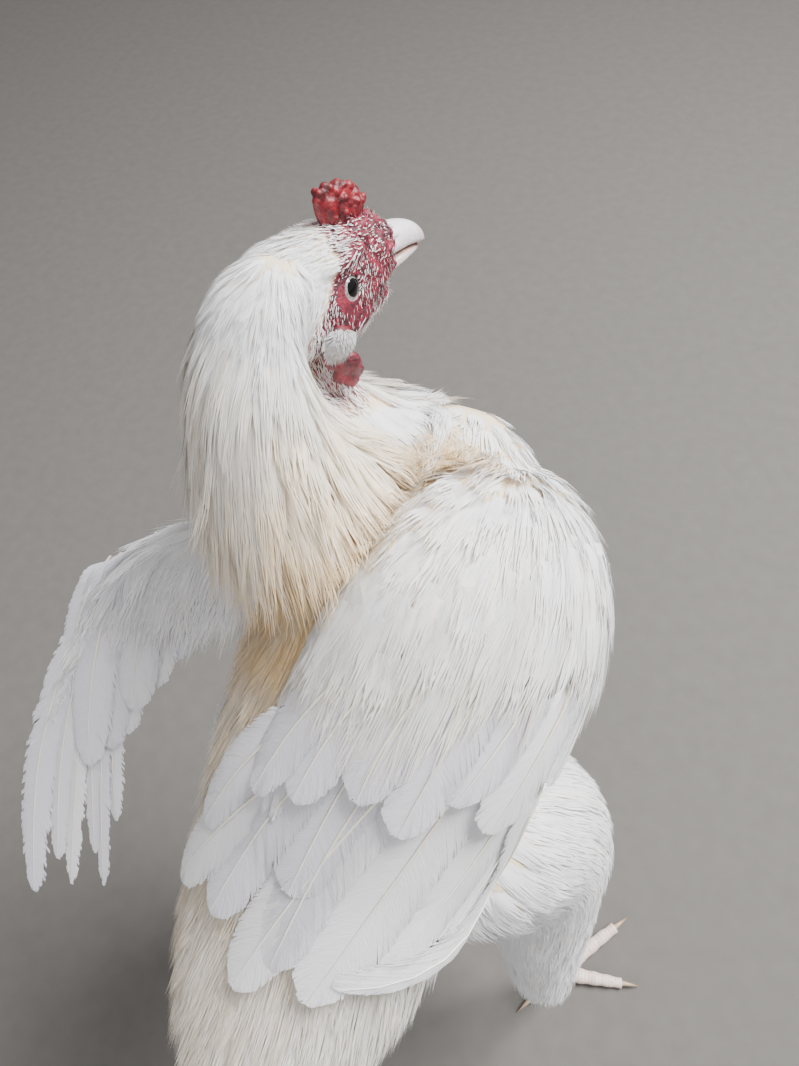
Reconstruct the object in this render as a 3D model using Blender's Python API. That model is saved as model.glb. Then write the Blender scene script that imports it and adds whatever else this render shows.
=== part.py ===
"""A life-size aseel cock, standing: white plumage, head turned a little to its right,
right wing folded loosely over the back, left wing dropped and half open.

Metres, +Z up. The bird faces -Y, so its right side is at -X and its left at +X.
"""

import bmesh
import bpy
import numpy as np
from math import atan2, cos, pi, radians, sin
from mathutils import Matrix, Vector
from mathutils.bvhtree import BVHTree

# Driving dimensions of the bird, in metres and degrees
BODY_PITCH = radians(39.9)
BODY_ROLL = radians(3.9)
BODY_CENTRE = Vector((-0.015, 0.006, 0.413))
HEAD_CENTRE = Vector((0.0402, -0.1636, 0.6218))
HEAD_TURN = radians(20.0)
HEAD_RAISE = radians(-2.0)
HEAD_TILT = radians(-7.0)
EYE_RADIUS = 0.0078
EYE_FORWARD = -0.0066
EYE_TURN = radians(19.0)
EYE_LIFT = radians(10.0)
GAP = 0.0003
SHARP_ANGLE = radians(50.0)

# Directions of the body: along the back towards the neck, out of the back, to its left
ALONG = Vector((0.0, -cos(BODY_PITCH), sin(BODY_PITCH)))
ACROSS = Matrix.Rotation(BODY_ROLL, 3, ALONG)
OUT = ACROSS @ Vector((0.0, sin(BODY_PITCH), cos(BODY_PITCH)))
LEFT = ACROSS @ Vector((1.0, 0.0, 0.0))
DOWN = Vector((0.0, 0.0, -1.0))

# The trunk: along, out, half width, reach to the back, reach to the breast
TRUNK = (
    (-0.130, 0.030, 0.020, 0.016, 0.020),
    (-0.118, 0.027, 0.042, 0.027, 0.038),
    (-0.080, 0.016, 0.060, 0.042, 0.060),
    (-0.040, 0.006, 0.069, 0.052, 0.076),
    (0.005, 0.000, 0.073, 0.059, 0.086),
    (0.055, -0.002, 0.075, 0.062, 0.090),
    (0.105, -0.003, 0.073, 0.062, 0.088),
    (0.150, -0.004, 0.066, 0.058, 0.080),
    (0.188, -0.006, 0.053, 0.046, 0.066),
    (0.213, -0.010, 0.036, 0.030, 0.046),
    (0.226, -0.014, 0.014, 0.012, 0.020),
)
TRUNK_RINGS = 18
TRUNK_POINTS = 20

# The neck under its hackle, and the hood of feathers round the back of the head:
# world place of the centre line, radius to the back and sides, and reach to the front
NECK = (
    ((-0.002, -0.096, 0.486), 0.042, 0.076),
    ((0.014, -0.100, 0.520), 0.045, 0.082),
    ((0.033, -0.102, 0.556), 0.043, 0.073),
    ((0.045, -0.110, 0.588), 0.036, 0.048),
    ((0.049, -0.125, 0.614), 0.0305, 0.030),
    ((0.047, -0.136, 0.634), 0.0225, 0.022),
    ((0.046, -0.141, 0.646), 0.010, 0.010),
)
NECK_RINGS = 12
NECK_POINTS = 16

# Each leg: knee, hock and the ball of the foot, in world places, right then left
LEGS = {
    "right": {
        "thigh": (-0.046, -0.016, 0.402),
        "knee": (-0.098, -0.058, 0.318),
        "hock": (-0.138, 0.002, 0.142),
        "ball": (-0.148, -0.022, 0.012),
        "turn": radians(28.0),
    },
    "left": {
        "thigh": (0.016, -0.016, 0.408),
        "knee": (0.066, -0.058, 0.322),
        "hock": (0.080, 0.012, 0.142),
        "ball": (0.084, -0.014, 0.012),
        "turn": radians(-18.0),
    },
}
THIGH_RADIUS = 0.034
HIP_RADIUS = 0.057
KNEE_RADIUS = 0.050
CALF_RADIUS = 0.034
THIGH_END_RADIUS = 0.0165
HOCK_RADIUS = 0.0125
SHANK_RADIUS = 0.0085
BALL_RADIUS = 0.0115
# Toes: name, angle from the foot's own forward direction, length, radius at the root
TOES = (
    ("middle", 2.0, 0.066, 0.0072),
    ("inner", -38.0, 0.050, 0.0068),
    ("outer", 44.0, 0.056, 0.0066),
    ("hind", 176.0, 0.034, 0.0060),
)
CLAW_LENGTH = 0.015

# The head in its own directions: forward, half width, top, bottom, drop of the ring's centre
SKULL = (
    (-0.042, 0.010, 0.010, 0.011, 0.003),
    (-0.038, 0.0175, 0.0185, 0.018, 0.002),
    (-0.027, 0.0225, 0.0245, 0.0230, 0.001),
    (-0.014, 0.0215, 0.0240, 0.0240, 0.001),
    (0.000, 0.0185, 0.0215, 0.0230, 0.000),
    (0.012, 0.0160, 0.0185, 0.0190, 0.000),
    (0.021, 0.0125, 0.0135, 0.0135, -0.001),
    (0.025, 0.0095, 0.0100, 0.0105, -0.002),
)
SKULL_RINGS = 10
SKULL_POINTS = 14
LID_WIDTH = 0.0064
LID_HEIGHT = 0.0060
LID_THICKNESS = 0.0015
EYE_SIDE = 0.0125
EYE_UP = 0.0020

# Bulbs of skin between the comb and the bill: forward, left, up and size
FRONT_WARTS = (
    (0.0215, 0.0045, 0.0135, 0.0048),
    (0.0215, -0.0045, 0.0135, 0.0048),
    (0.0150, 0.0, 0.0185, 0.0052),
    (0.0120, 0.0075, 0.0175, 0.0044),
    (0.0120, -0.0075, 0.0175, 0.0044),
)

# The bill: forward, half width, top, bottom
UPPER_BILL = (
    (0.0253, 0.0088, 0.0095, -0.0045),
    (0.0300, 0.0080, 0.0085, -0.0052),
    (0.0370, 0.0062, 0.0058, -0.0066),
    (0.0430, 0.0040, 0.0018, -0.0084),
    (0.0470, 0.0020, -0.0036, -0.0106),
    (0.0485, 0.0007, -0.0085, -0.0125),
)
LOWER_BILL = (
    (0.0253, 0.0078, -0.0049, -0.0128),
    (0.0300, 0.0068, -0.0060, -0.0130),
    (0.0350, 0.0052, -0.0068, -0.0130),
    (0.0405, 0.0030, -0.0084, -0.0130),
    (0.0430, 0.0012, -0.0098, -0.0130),
)
BILL_POINTS = 14
NOSTRIL = (0.0305, 0.0076, 0.0040)
NOSTRIL_SIZE = (0.0020, 0.0013, 0.0009)
COMB_PLACE = Vector((0.0082, 0.0, 0.0175))
COMB_LEAN = radians(19.0)
COMB_BASE = (0.0105, 0.0046, 0.0050)
# Half of each lobe's length, as a share of the line from its foot to its tip
LOBE_SHARE = 0.52

# Lobes of the comb, along its foot: place of the foot, place of the tip, height, place across, size
COMB_LOBES = (
    (-0.0068, -0.0118, 0.0160, 0.0, 0.0030),
    (-0.0042, -0.0068, 0.0178, 0.0, 0.0031),
    (-0.0010, -0.0018, 0.0180, 0.0, 0.0032),
    (0.0022, 0.0032, 0.0166, 0.0, 0.0031),
    (0.0050, 0.0074, 0.0138, 0.0, 0.0030),
    (0.0072, 0.0108, 0.0100, 0.0, 0.0028),
    (-0.0020, -0.0035, 0.0090, 0.0030, 0.0028),
    (0.0035, 0.0050, 0.0085, 0.0030, 0.0026),
    (-0.0020, -0.0035, 0.0090, -0.0030, 0.0028),
    (0.0035, 0.0050, 0.0085, -0.0030, 0.0026),
)

# Folds of each earlobe: forward, out from the head, up, and the three half sizes
LOBE_FOLDS = (
    (-0.0185, 0.0200, -0.0245, 0.0050, 0.0024, 0.0062),
    (-0.0140, 0.0205, -0.0275, 0.0040, 0.0026, 0.0060),
    (-0.0225, 0.0195, -0.0190, 0.0040, 0.0022, 0.0060),
    (-0.0165, 0.0200, -0.0330, 0.0046, 0.0022, 0.0040),
)
EAR_PLACE = (-0.0184, 0.0225, -0.0117)
EAR_RADIUS = 0.0066
EAR_THICKNESS = 0.0034
SCUTES = 9
SCUTE_RISE = 0.0007
SHANK_POINTS = 12
SHANK_NARROW = 0.86
CLAW_POINTS = 8
TOE_POINTS = 8
SPUR_LENGTH = 0.016

# The right wing lies on the trunk: along, angle of its back edge, angle of its outer edge, thickness
WING_PAD = (
    (0.207, -25.0, -120.0, 0.008),
    (0.196, -10.0, -118.0, 0.019),
    (0.172, 6.0, -116.0, 0.025),
    (0.135, 10.0, -116.0, 0.023),
    (0.095, 12.0, -114.0, 0.016),
    (0.060, 16.0, -110.0, 0.009),
    (0.030, 18.0, -104.0, 0.005),
    (0.012, 12.0, -96.0, 0.003),
)
WING_SINK = 0.004
WING_COLUMNS = 8
ARM_CORE = (
    (0.150, 0.004, 0.080, 0.108, 0.018, 0.010),
    (0.140, 0.006, 0.105, 0.090, 0.016, 0.009),
    (0.118, 0.005, 0.140, 0.062, 0.013, 0.007),
    (0.088, 0.003, 0.162, 0.040, 0.009, 0.005),
)
HAND_CORE = (
    (0.0845, 0.0025, 0.1640, 0.1560, 0.008, 0.005),
    (0.060, 0.002, 0.1710, 0.1570, 0.008, 0.005),
    (0.020, 0.000, 0.1790, 0.1680, 0.005, 0.003),
    (-0.010, 0.000, 0.1840, 0.1770, 0.003, 0.002),
)
TAIL_ROOT = (-0.131, 0.030)
TAIL_LIFT = radians(14.0)

# Feathers: stations along the vane and the share of its full width at each of them
FLIGHT = ((0.0, 0.24, 0.60, 0.88, 1.0), (0.45, 0.90, 1.0, 0.78, 0.26))
COVERT = ((0.0, 0.40, 0.80, 1.0), (0.60, 1.0, 0.90, 0.34))
HACKLE = ((0.0, 0.42, 0.76, 1.0), (0.60, 1.0, 0.68, 0.12))
VANE_THICKNESS = 0.0006
SHAFT_THICKNESS = 0.0009
ROOT_SINK = 0.0030
SHINGLE_GAP = 0.0008
CLEARANCE = 0.0005
LEAST_SPACING = 0.003
REACH = 0.06
EXTRA_LIFTS = (0.0, 0.0015, 0.0030, 0.0045)

# Tiers of the right wing, from the outer edge to the back: roots and tips as (along, angle),
# how many, half width, heights over the core at the stations, kind and columns
RIGHT_TIERS = (
    (((0.098, -102.0), (0.092, -68.0), (0.090, -34.0), (0.082, -4.0)),
     ((-0.018, -30.0), (-0.030, -22.0), (-0.036, -5.0), (-0.044, 12.0), (-0.022, 26.0), (-0.004, 39.0)),
     8, 0.0145, (-0.0040, 0.0022, 0.0026, 0.0030, 0.0032), FLIGHT, 2),
    (((0.128, -102.0), (0.128, 0.0)), ((0.060, -94.0), (0.050, -34.0), (0.054, 20.0)),
     7, 0.0130, (-0.0035, 0.0030, 0.0076, 0.0080), COVERT, 1),
    (((0.162, -100.0), (0.162, 0.0)), ((0.106, -98.0), (0.098, -38.0), (0.106, 12.0)),
     7, 0.0125, (-0.0035, 0.0020, 0.0058, 0.0072), COVERT, 1),
)
WING_LIFT = 0.006

# Tiers of the left wing from the outer edge in: roots and tips as (along, out, left), how many,
# half width, heights at the stations, kind
HAND_TIERS = (
    (((0.058, 0.000, 0.173), (0.072, 0.000, 0.158)),
     ((-0.125, -0.001, 0.180), (-0.117, -0.004, 0.169), (-0.126, -0.008, 0.148), (-0.104, -0.008, 0.150),
      (-0.066, -0.006, 0.140)),
     6, 0.0105, (-0.0010, 0.0, 0.0, 0.0, 0.0), FLIGHT),
    (((0.074, 0.003, 0.171), (0.080, 0.003, 0.160)),
     ((0.008, 0.004, 0.178), (0.022, 0.003, 0.152)), 4, 0.0085, (-0.0020, 0.0030, 0.0036, 0.0036), COVERT),
)
ARM_TIERS = (
    (((0.086, 0.000, 0.160), (0.124, 0.000, 0.098)),
     ((-0.028, -0.002, 0.158), (-0.014, -0.003, 0.142), (0.020, -0.003, 0.134), (0.056, -0.003, 0.122),
      (0.082, -0.003, 0.104)), 7, 0.0115, (-0.0010, 0.0, 0.0, 0.0, 0.0), FLIGHT),
    (((0.100, 0.004, 0.158), (0.138, 0.004, 0.100)),
     ((0.036, 0.003, 0.168), (0.066, 0.003, 0.138), (0.104, 0.003, 0.098)),
     7, 0.0100, (-0.0020, 0.0026, 0.0036, 0.0036), COVERT),
)

# Tiers of the hackle: share of the neck at the root and the tip, how many round it, half width, flare
HACKLE_TIERS = (
    (0.30, 0.06, 11, 0.0185, 0.012),
    (0.46, 0.20, 11, 0.0180, 0.012),
    (0.63, 0.36, 10, 0.0150, 0.010),
    (0.80, 0.54, 9, 0.0115, 0.003),
)
HACKLE_RISES = (-ROOT_SINK, 0.0008, 0.0012, 0.0012)
HACKLE_LIFT = 0.012

# Tiers of the saddle, from the tail forward: along of roots and tips, first and last angle,
# how many, half width and how far the tips stand off
SADDLE_TIERS = (
    (-0.078, -0.142, -105.0, 105.0, 8, 0.0150, 0.014),
    (-0.046, -0.112, -100.0, 112.0, 9, 0.0155, 0.012),
    (-0.010, -0.078, 44.0, 98.0, 3, 0.0140, 0.006),
    (0.030, -0.040, 50.0, 84.0, 2, 0.0140, 0.004),
)

# The tail: place of the root behind the torso, core, and the feathers on each side
TAIL_CORE = ((0.000, 0.019, 0.015, 0.000), (0.025, 0.021, 0.016, 0.002), (0.055, 0.012, 0.008, 0.006))
TAIL_FEATHERS = 6
TAIL_LENGTH = 0.175
TAIL_HALF_WIDTH = 0.0130
TAIL_ROOF = radians(35.0)
TAIL_STEP = 0.0014
TAIL_CURVE = 1.1

# Long feathers over the tail: length, curve, half width, turn to the side
SICKLES = (
    (0.200, 1.00, 0.0085, radians(3.0)),
    (0.178, 0.85, 0.0080, radians(9.0)),
    (0.150, 0.60, 0.0075, radians(16.0)),
)

# Materials: colour and roughness
MATERIALS = {
    "white_feather": ((0.86, 0.85, 0.80), 0.75),
    "red_skin": ((0.50, 0.03, 0.03), 0.45),
    "ivory_horn": ((0.80, 0.74, 0.62), 0.35),
    "pale_scale": ((0.78, 0.68, 0.58), 0.55),
    "eye": ((0.05, 0.05, 0.05), 0.10),
}


def clear_scene():
    for old in list(bpy.data.objects):
        bpy.data.objects.remove(old)


def make_materials():
    for name, (colour, roughness) in MATERIALS.items():
        material = bpy.data.materials.new(name)
        material.use_nodes = True
        shader = material.node_tree.nodes["Principled BSDF"]
        shader.inputs["Base Color"].default_value = (*colour, 1.0)
        shader.inputs["Roughness"].default_value = roughness


def body_point(along, out, left=0.0):
    """A point in the body's own directions, measured from the body's centre."""
    return BODY_CENTRE + ALONG * along + OUT * out + LEFT * left


def head_matrix():
    """Turns the head's own directions (forward, left, up) into the world's."""
    ahead = cos(HEAD_RAISE)
    forward = Vector((-sin(HEAD_TURN) * ahead, -cos(HEAD_TURN) * ahead, sin(HEAD_RAISE)))
    up = Vector((0.0, 0.0, 1.0))
    left = up.cross(forward).normalized()
    up = forward.cross(left)
    tilt = Matrix.Rotation(HEAD_TILT, 3, forward)
    left = tilt @ left
    up = tilt @ up
    turned = Matrix((forward, left, up)).transposed().to_4x4()
    return Matrix.Translation(HEAD_CENTRE) @ turned


def collection_of(name):
    found = bpy.data.collections.get(name)
    if found is None:
        found = bpy.data.collections.new(name)
        bpy.context.scene.collection.children.link(found)
    return found


def object_from(bm, name, material, collection="aseel", turn_out=True):
    """Turns a bmesh into an object with its faces pointing out."""
    if turn_out:
        bmesh.ops.recalc_face_normals(bm, faces=bm.faces)
    mesh = bpy.data.meshes.new(name)
    bm.to_mesh(mesh)
    bm.free()
    mesh.materials.append(bpy.data.materials[material])
    obj = bpy.data.objects.new(name, mesh)
    collection_of(collection).objects.link(obj)
    return obj


def loft(name, rings, material, collection="aseel"):
    """A closed body through rings with the same number of points, capped at both ends."""
    bm = bmesh.new()
    rows = [[bm.verts.new(p) for p in ring] for ring in rings]
    count = len(rows[0])
    for low, high in zip(rows, rows[1:]):
        for i in range(count):
            j = (i + 1) % count
            bm.faces.new((low[i], low[j], high[j]))
            bm.faces.new((low[i], high[j], high[i]))
    for row in (rows[0], rows[-1]):
        middle = bm.verts.new(sum((v.co for v in row), Vector()) / count)
        for i in range(count):
            bm.faces.new((row[i], row[(i + 1) % count], middle))
    return object_from(bm, name, material, collection)


def smooth_rows(rows, count):
    """Rows evenly spaced in parameter on a Catmull-Rom curve through the given ones."""
    given = [np.array(row, float) for row in rows]
    given = [2 * given[0] - given[1]] + given + [2 * given[-1] - given[-2]]
    found = []
    for t in np.linspace(0, len(given) - 3 - 1e-9, count):
        i = int(t)
        u = t - i
        a, b, c, d = given[i : i + 4]
        found.append(
            0.5 * (2 * b + (c - a) * u + (2 * a - 5 * b + 4 * c - d) * u**2
                   + (3 * b - a - 3 * c + d) * u**3)
        )
    return np.array(found)


FINE_TRUNK = smooth_rows(TRUNK, 101)


def trunk_point(along, angle, offset=0.0):
    """A point on the trunk; the angle is 0 on the back and grows towards the bird's left."""
    out, half_width, back, breast = (
        float(np.interp(along, FINE_TRUNK[:, 0], FINE_TRUNK[:, k])) for k in (1, 2, 3, 4)
    )
    reach = back if cos(angle) > 0 else breast
    normal = Vector((sin(angle) * reach, cos(angle) * half_width)).normalized()
    return body_point(along, out + reach * cos(angle) + normal.y * offset,
                      half_width * sin(angle) + normal.x * offset)


def trunk_object(name="torso", grow=0.0, collection="aseel"):
    places = smooth_rows(TRUNK, TRUNK_RINGS)[:, 0]
    rings = []
    for k, along in enumerate(places):
        slide = -grow if k == 0 else grow if k == len(places) - 1 else 0.0
        ring = [trunk_point(along, 2 * pi * i / TRUNK_POINTS, grow) for i in range(TRUNK_POINTS)]
        rings.append([p + ALONG * slide for p in ring])
    return loft(name, rings, "white_feather", collection)


def tube_rings(rows, points, reference=Vector((1.0, 0.0, 0.0))):
    """Round rings along rows of (x, y, z, radius), square to the line through them."""
    centres = [Vector(row[:3]) for row in rows]
    rings = []
    for k, row in enumerate(rows):
        ahead = centres[min(k + 1, len(rows) - 1)]
        behind = centres[max(k - 1, 0)]
        tangent = (ahead - behind).normalized()
        side = (reference - tangent * reference.dot(tangent)).normalized()
        up = tangent.cross(side)
        turns = [2 * pi * i / points for i in range(points)]
        rings.append([centres[k] + (side * cos(turn) + up * sin(turn)) * row[3] for turn in turns])
    return rings


def neck_rows(count=NECK_RINGS):
    return smooth_rows([(*place, radius, front) for place, radius, front in NECK], count)


def neck_point(rows, place, turn):
    """A point on the neck at a place in its rows, with the way out there; the turn starts on its left."""
    k = min(int(place), len(rows) - 2)
    row = rows[k] + (rows[k + 1] - rows[k]) * (place - k)
    tangent = Vector(rows[min(k + 2, len(rows) - 1)][:3] - rows[max(k - 1, 0)][:3]).normalized()
    side = Vector((1.0, 0.0, 0.0))
    side = (side - tangent * side.dot(tangent)).normalized()
    back = tangent.cross(side)
    reach = row[3] if sin(turn) > 0 else row[4]
    out = (side * (cos(turn) * reach) + back * (sin(turn) * row[3])).normalized()
    return Vector(row[:3]) + side * (row[3] * cos(turn)) + back * (reach * sin(turn)), out


def neck_core(name="neck"):
    rows = neck_rows()
    rings = [
        [neck_point(rows, k, 2 * pi * i / NECK_POINTS)[0] for i in range(NECK_POINTS)]
        for k in range(NECK_RINGS)
    ]
    return loft(name, rings, "white_feather")


def as_mesh(obj):
    """Applies an object's modifiers and returns it."""
    graph = bpy.context.evaluated_depsgraph_get()
    mesh = bpy.data.meshes.new_from_object(obj.evaluated_get(graph))
    obj.modifiers.clear()
    obj.data = mesh
    return obj


def largest_surface(obj):
    """Keeps only the object's largest closed surface."""
    bm = bmesh.new()
    bm.from_mesh(obj.data)
    left = set(bm.faces)
    groups = []
    while left:
        stack = [left.pop()]
        group = set(stack)
        while stack:
            for edge in stack.pop().edges:
                for face in edge.link_faces:
                    if face in left:
                        left.remove(face)
                        group.add(face)
                        stack.append(face)
        groups.append(group)
    groups.sort(key=lambda group: sum(face.calc_area() for face in group))
    for group in groups[:-1]:
        bmesh.ops.delete(bm, geom=list(group), context="FACES")
    bmesh.ops.triangulate(bm, faces=bm.faces)
    bm.to_mesh(obj.data)
    bm.free()
    return obj


def boolean(obj, operation, other=None, collection=None, solver="EXACT"):
    modifier = obj.modifiers.new(operation.lower(), "BOOLEAN")
    modifier.operation = operation
    modifier.solver = solver
    if solver == "EXACT":
        modifier.use_self = True
    if collection is None:
        modifier.object = other
    else:
        modifier.operand_type = "COLLECTION"
        modifier.collection = collection
    return as_mesh(obj)


def fused(obj, collection_name, solver="EXACT"):
    """Joins every piece in a collection to the object, and removes the pieces."""
    collection = collection_of(collection_name)
    boolean(obj, "UNION", collection=collection, solver=solver)
    for piece in list(collection.objects):
        bpy.data.objects.remove(piece)
    bpy.data.collections.remove(collection)
    return largest_surface(obj)


def cut(obj, cutter):
    """Cuts one object clear of another and removes the cutter."""
    boolean(obj, "DIFFERENCE", other=cutter)
    bpy.data.objects.remove(cutter)
    return largest_surface(obj)


def cut_clear(obj, other, gap=1.4 * GAP):
    """Cuts an object clear of a neighbour swollen by a gap."""
    bm = bmesh.new()
    bm.from_mesh(other.data)
    bm.normal_update()
    moves = [(v, v.normal * gap * min(v.calc_shell_factor(), 1.5)) for v in bm.verts]
    for vertex, move in moves:
        vertex.co += move
    cutter = object_from(bm, "clear cutter", other.data.materials[0].name, "cutters", False)
    return cut(obj, cutter)


def ball(name, centre, radii, material, collection, turn=None, segments=12, rings=8):
    """An ellipsoid, turned by a matrix."""
    bm = bmesh.new()
    bmesh.ops.create_uvsphere(bm, u_segments=segments, v_segments=rings, radius=1.0)
    scale = Matrix.Diagonal((*radii, 1.0))
    spin = turn.to_4x4() if turn is not None else Matrix.Identity(4)
    bm.transform(Matrix.Translation(centre) @ spin @ scale)
    bmesh.ops.triangulate(bm, faces=bm.faces)
    return object_from(bm, name, material, collection)


def skull_point(forward, angle):
    """A point on the skull in the head's directions; the angle is 0 on the crown, to the left."""
    fine = smooth_rows(SKULL, 61)
    half_width, top, bottom, drop = (
        float(np.interp(forward, fine[:, 0], fine[:, k])) for k in (1, 2, 3, 4)
    )
    reach = top if cos(angle) > 0 else bottom
    return Vector((forward, half_width * sin(angle), reach * cos(angle) - drop))


def head_object():
    place = head_matrix()
    rings = [
        [place @ skull_point(row[0], 2 * pi * i / SKULL_POINTS) for i in range(SKULL_POINTS)]
        for row in smooth_rows(SKULL, SKULL_RINGS)
    ]
    head = loft("head", rings, "red_skin")
    turn = place.to_3x3()
    for side in (-1, 1):
        # the brow, the cheek and the rim of the lids on each side
        ball("brow", place @ Vector((-0.004, side * 0.0140, 0.0128)), (0.0140, 0.0048, 0.0042),
             "red_skin", "head parts", turn @ Matrix.Rotation(radians(side * -8), 3, "Z"), 8, 6)
        ball("cheek", place @ Vector((-0.007, side * 0.0135, -0.0115)), (0.0130, 0.0060, 0.0080),
             "red_skin", "head parts", turn, 8, 6)
        rim(place, side)
    for forward, across, up, size in FRONT_WARTS:
        ball("wart", place @ Vector((forward, across, up)), (size, size * 0.9, size * 0.8),
             "red_skin", "head parts", turn, 6, 5)
    fused(head, "head parts")
    for side in (-1, 1):
        cut(head, ball("socket", place @ Vector((EYE_FORWARD, side * EYE_SIDE, EYE_UP)),
                       (EYE_RADIUS + GAP,) * 3, "eye", "cutters", turn, 12, 8))
    return head


def rim(place, side):
    """The lids: an almond ring round the eye, set on the skull."""
    bm = bmesh.new()
    points = 12
    section = 4
    rows = []
    look = Matrix.Rotation(-side * EYE_TURN, 3, "Z") @ Matrix.Rotation(side * EYE_LIFT, 3, "X")
    outward = look @ Vector((0.0, side, 0.0))
    for i in range(points):
        turn = 2 * pi * i / points
        radial = look @ Vector((cos(turn), 0.0, sin(turn)))
        centre = Vector((EYE_FORWARD, side * EYE_SIDE, EYE_UP)) + outward * 0.0048
        centre += look @ Vector((LID_WIDTH * cos(turn), 0.0, LID_HEIGHT * sin(turn)))
        rows.append([
            place @ (centre + radial * (LID_THICKNESS * cos(2 * pi * j / section))
                     + outward * (LID_THICKNESS * sin(2 * pi * j / section)))
            for j in range(section)
        ])
    verts = [[bm.verts.new(p) for p in row] for row in rows]
    for i in range(points):
        for j in range(section):
            i2, j2 = (i + 1) % points, (j + 1) % section
            bm.faces.new((verts[i][j], verts[i2][j], verts[i2][j2]))
            bm.faces.new((verts[i][j], verts[i2][j2], verts[i][j2]))
    return object_from(bm, "lids", "red_skin", "head parts")


def eyes():
    place = head_matrix()
    for name, side in (("eye_right", -1), ("eye_left", 1)):
        ball(name, place @ Vector((EYE_FORWARD, side * EYE_SIDE, EYE_UP)), (EYE_RADIUS,) * 3, "eye",
             "aseel", place.to_3x3(), 12, 8)


def bill():
    """The upper and lower bill, parted by the line of the mouth, with the nostrils let in."""
    place = head_matrix()
    turn = place.to_3x3()
    for name, rows, count in (("bill_upper", UPPER_BILL, 9), ("bill_lower", LOWER_BILL, 7)):
        rings = []
        for forward, half, top, bottom in smooth_rows(rows, count):
            middle = 0.5 * (top + bottom)
            rings.append([
                place @ Vector((forward, half * sin(2 * pi * i / BILL_POINTS),
                                middle + 0.5 * (top - bottom) * cos(2 * pi * i / BILL_POINTS)))
                for i in range(BILL_POINTS)
            ])
        horn = loft(name, rings, "ivory_horn")
        for side in (-1, 1):
            if name == "bill_upper":
                forward, across, up = NOSTRIL
                cut(horn, ball("nostril cutter", place @ Vector((forward, side * across, up)),
                               NOSTRIL_SIZE, "ivory_horn", "cutters", turn, 8, 5))


def comb():
    """A fan of rounded lobes leaning towards the bill, over small side knobs."""
    place = head_matrix() @ Matrix.Translation(COMB_PLACE) @ Matrix.Rotation(COMB_LEAN, 4, "Y")
    turn = place.to_3x3()
    base = ball("comb", place @ Vector((0.0, 0.0, 0.0)), COMB_BASE, "red_skin", "aseel", turn, 10, 6)
    for foot, tip, height, across, size in COMB_LOBES:
        axis = Vector((tip - foot, 0.0, height))
        lean = Matrix.Rotation(atan2(axis.x, axis.z), 3, "Y")
        middle = Vector((foot, across, 0.0)) + axis * 0.5
        ball("lobe", place @ middle, (size, size * 0.85, axis.length * LOBE_SHARE),
             "red_skin", "comb parts", turn @ lean, 6, 4)
    fused(base, "comb parts")
    return base


def earlobes():
    place = head_matrix()
    turn = place.to_3x3()
    made = []
    for name, side in (("earlobe_right", -1), ("earlobe_left", 1)):
        first, *rest = [
            (Vector((f, side * out, up)), (a, b, c)) for f, out, up, a, b, c in LOBE_FOLDS
        ]
        lobe = ball(name, place @ first[0], first[1], "red_skin", "aseel", turn, 8, 5)
        for centre, radii in rest:
            ball("fold", place @ centre, radii, "red_skin", "lobe parts", turn, 8, 5)
        fused(lobe, "lobe parts")
        made.append(cut(lobe, ear_ball("patch cutter", side, 1.4 * GAP, "cutters")))
    return made


def ear_ball(name, side, grow=0.0, collection="aseel"):
    place = head_matrix()
    centre = Vector((EAR_PLACE[0], side * EAR_PLACE[1], EAR_PLACE[2]))
    return ball(name, place @ centre, (EAR_RADIUS + grow, EAR_THICKNESS + grow, EAR_RADIUS + grow),
                "white_feather", collection, place.to_3x3(), 12, 6)


def ear_patches():
    return [ear_ball(name, side) for name, side in (("ear_patch_right", -1), ("ear_patch_left", 1))]


def thigh_rows(side, count):
    leg = LEGS[side]
    hock = Vector(leg["hock"])
    knee = Vector(leg["knee"])
    calf = knee.lerp(hock, 0.52)
    calf.y -= 0.004
    end = knee.lerp(hock, 0.93)
    return smooth_rows((
        (*leg["thigh"], THIGH_RADIUS), (*Vector(leg["thigh"]).lerp(knee, 0.45), HIP_RADIUS),
        (*knee, KNEE_RADIUS), (*calf, CALF_RADIUS), (*end, THIGH_END_RADIUS),
    ), count)


def thighs():
    made = []
    for side in LEGS:
        name = f"thigh_{side}"
        thigh = loft(name, tube_rings(thigh_rows(side, 11), 14), "white_feather")
        made.append(cut(thigh, trunk_object("trunk cutter", GAP, "cutters")))
    return made


def shank_frame(side):
    """Directions of a shank: down its length, and out of its front."""
    leg = LEGS[side]
    down = (Vector(leg["ball"]) - Vector(leg["hock"])).normalized()
    ahead = foot_forward(side)
    front = (ahead - down * ahead.dot(down)).normalized()
    return down, front


def foot_forward(side):
    turn = LEGS[side]["turn"]
    return Vector((-sin(turn), -cos(turn), 0.0))


def shanks():
    """The scaled shank from the hock down to the ball of the foot, with plates raised on its front."""
    made = []
    for side in LEGS:
        down, front = shank_frame(side)
        across = down.cross(front)
        start = Vector(thigh_rows(side, 11)[-1][:3]) + down * 0.0006
        end = Vector(LEGS[side]["ball"]) - down * (BALL_RADIUS * 0.55)
        rings = []
        steps = SCUTES * 2
        for k in range(steps + 1):
            t = k / steps
            centre = start.lerp(end, t)
            swell = HOCK_RADIUS * max(0.0, 1.0 - t / 0.16) ** 0.7
            radius = max(SHANK_RADIUS * (1.0 + 0.12 * (2 * t - 1) ** 2), swell)
            rise = SCUTE_RISE if k % 2 else 0.0
            turns = [2 * pi * i / SHANK_POINTS for i in range(SHANK_POINTS)]
            rings.append([
                centre + across * (radius * SHANK_NARROW * cos(turn))
                + front * ((radius + (rise if sin(turn) > 0.1 else 0.0)) * sin(turn))
                for turn in turns
            ])
        made.append(loft(f"shank_{side}", rings, "pale_scale"))
    return made


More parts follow.
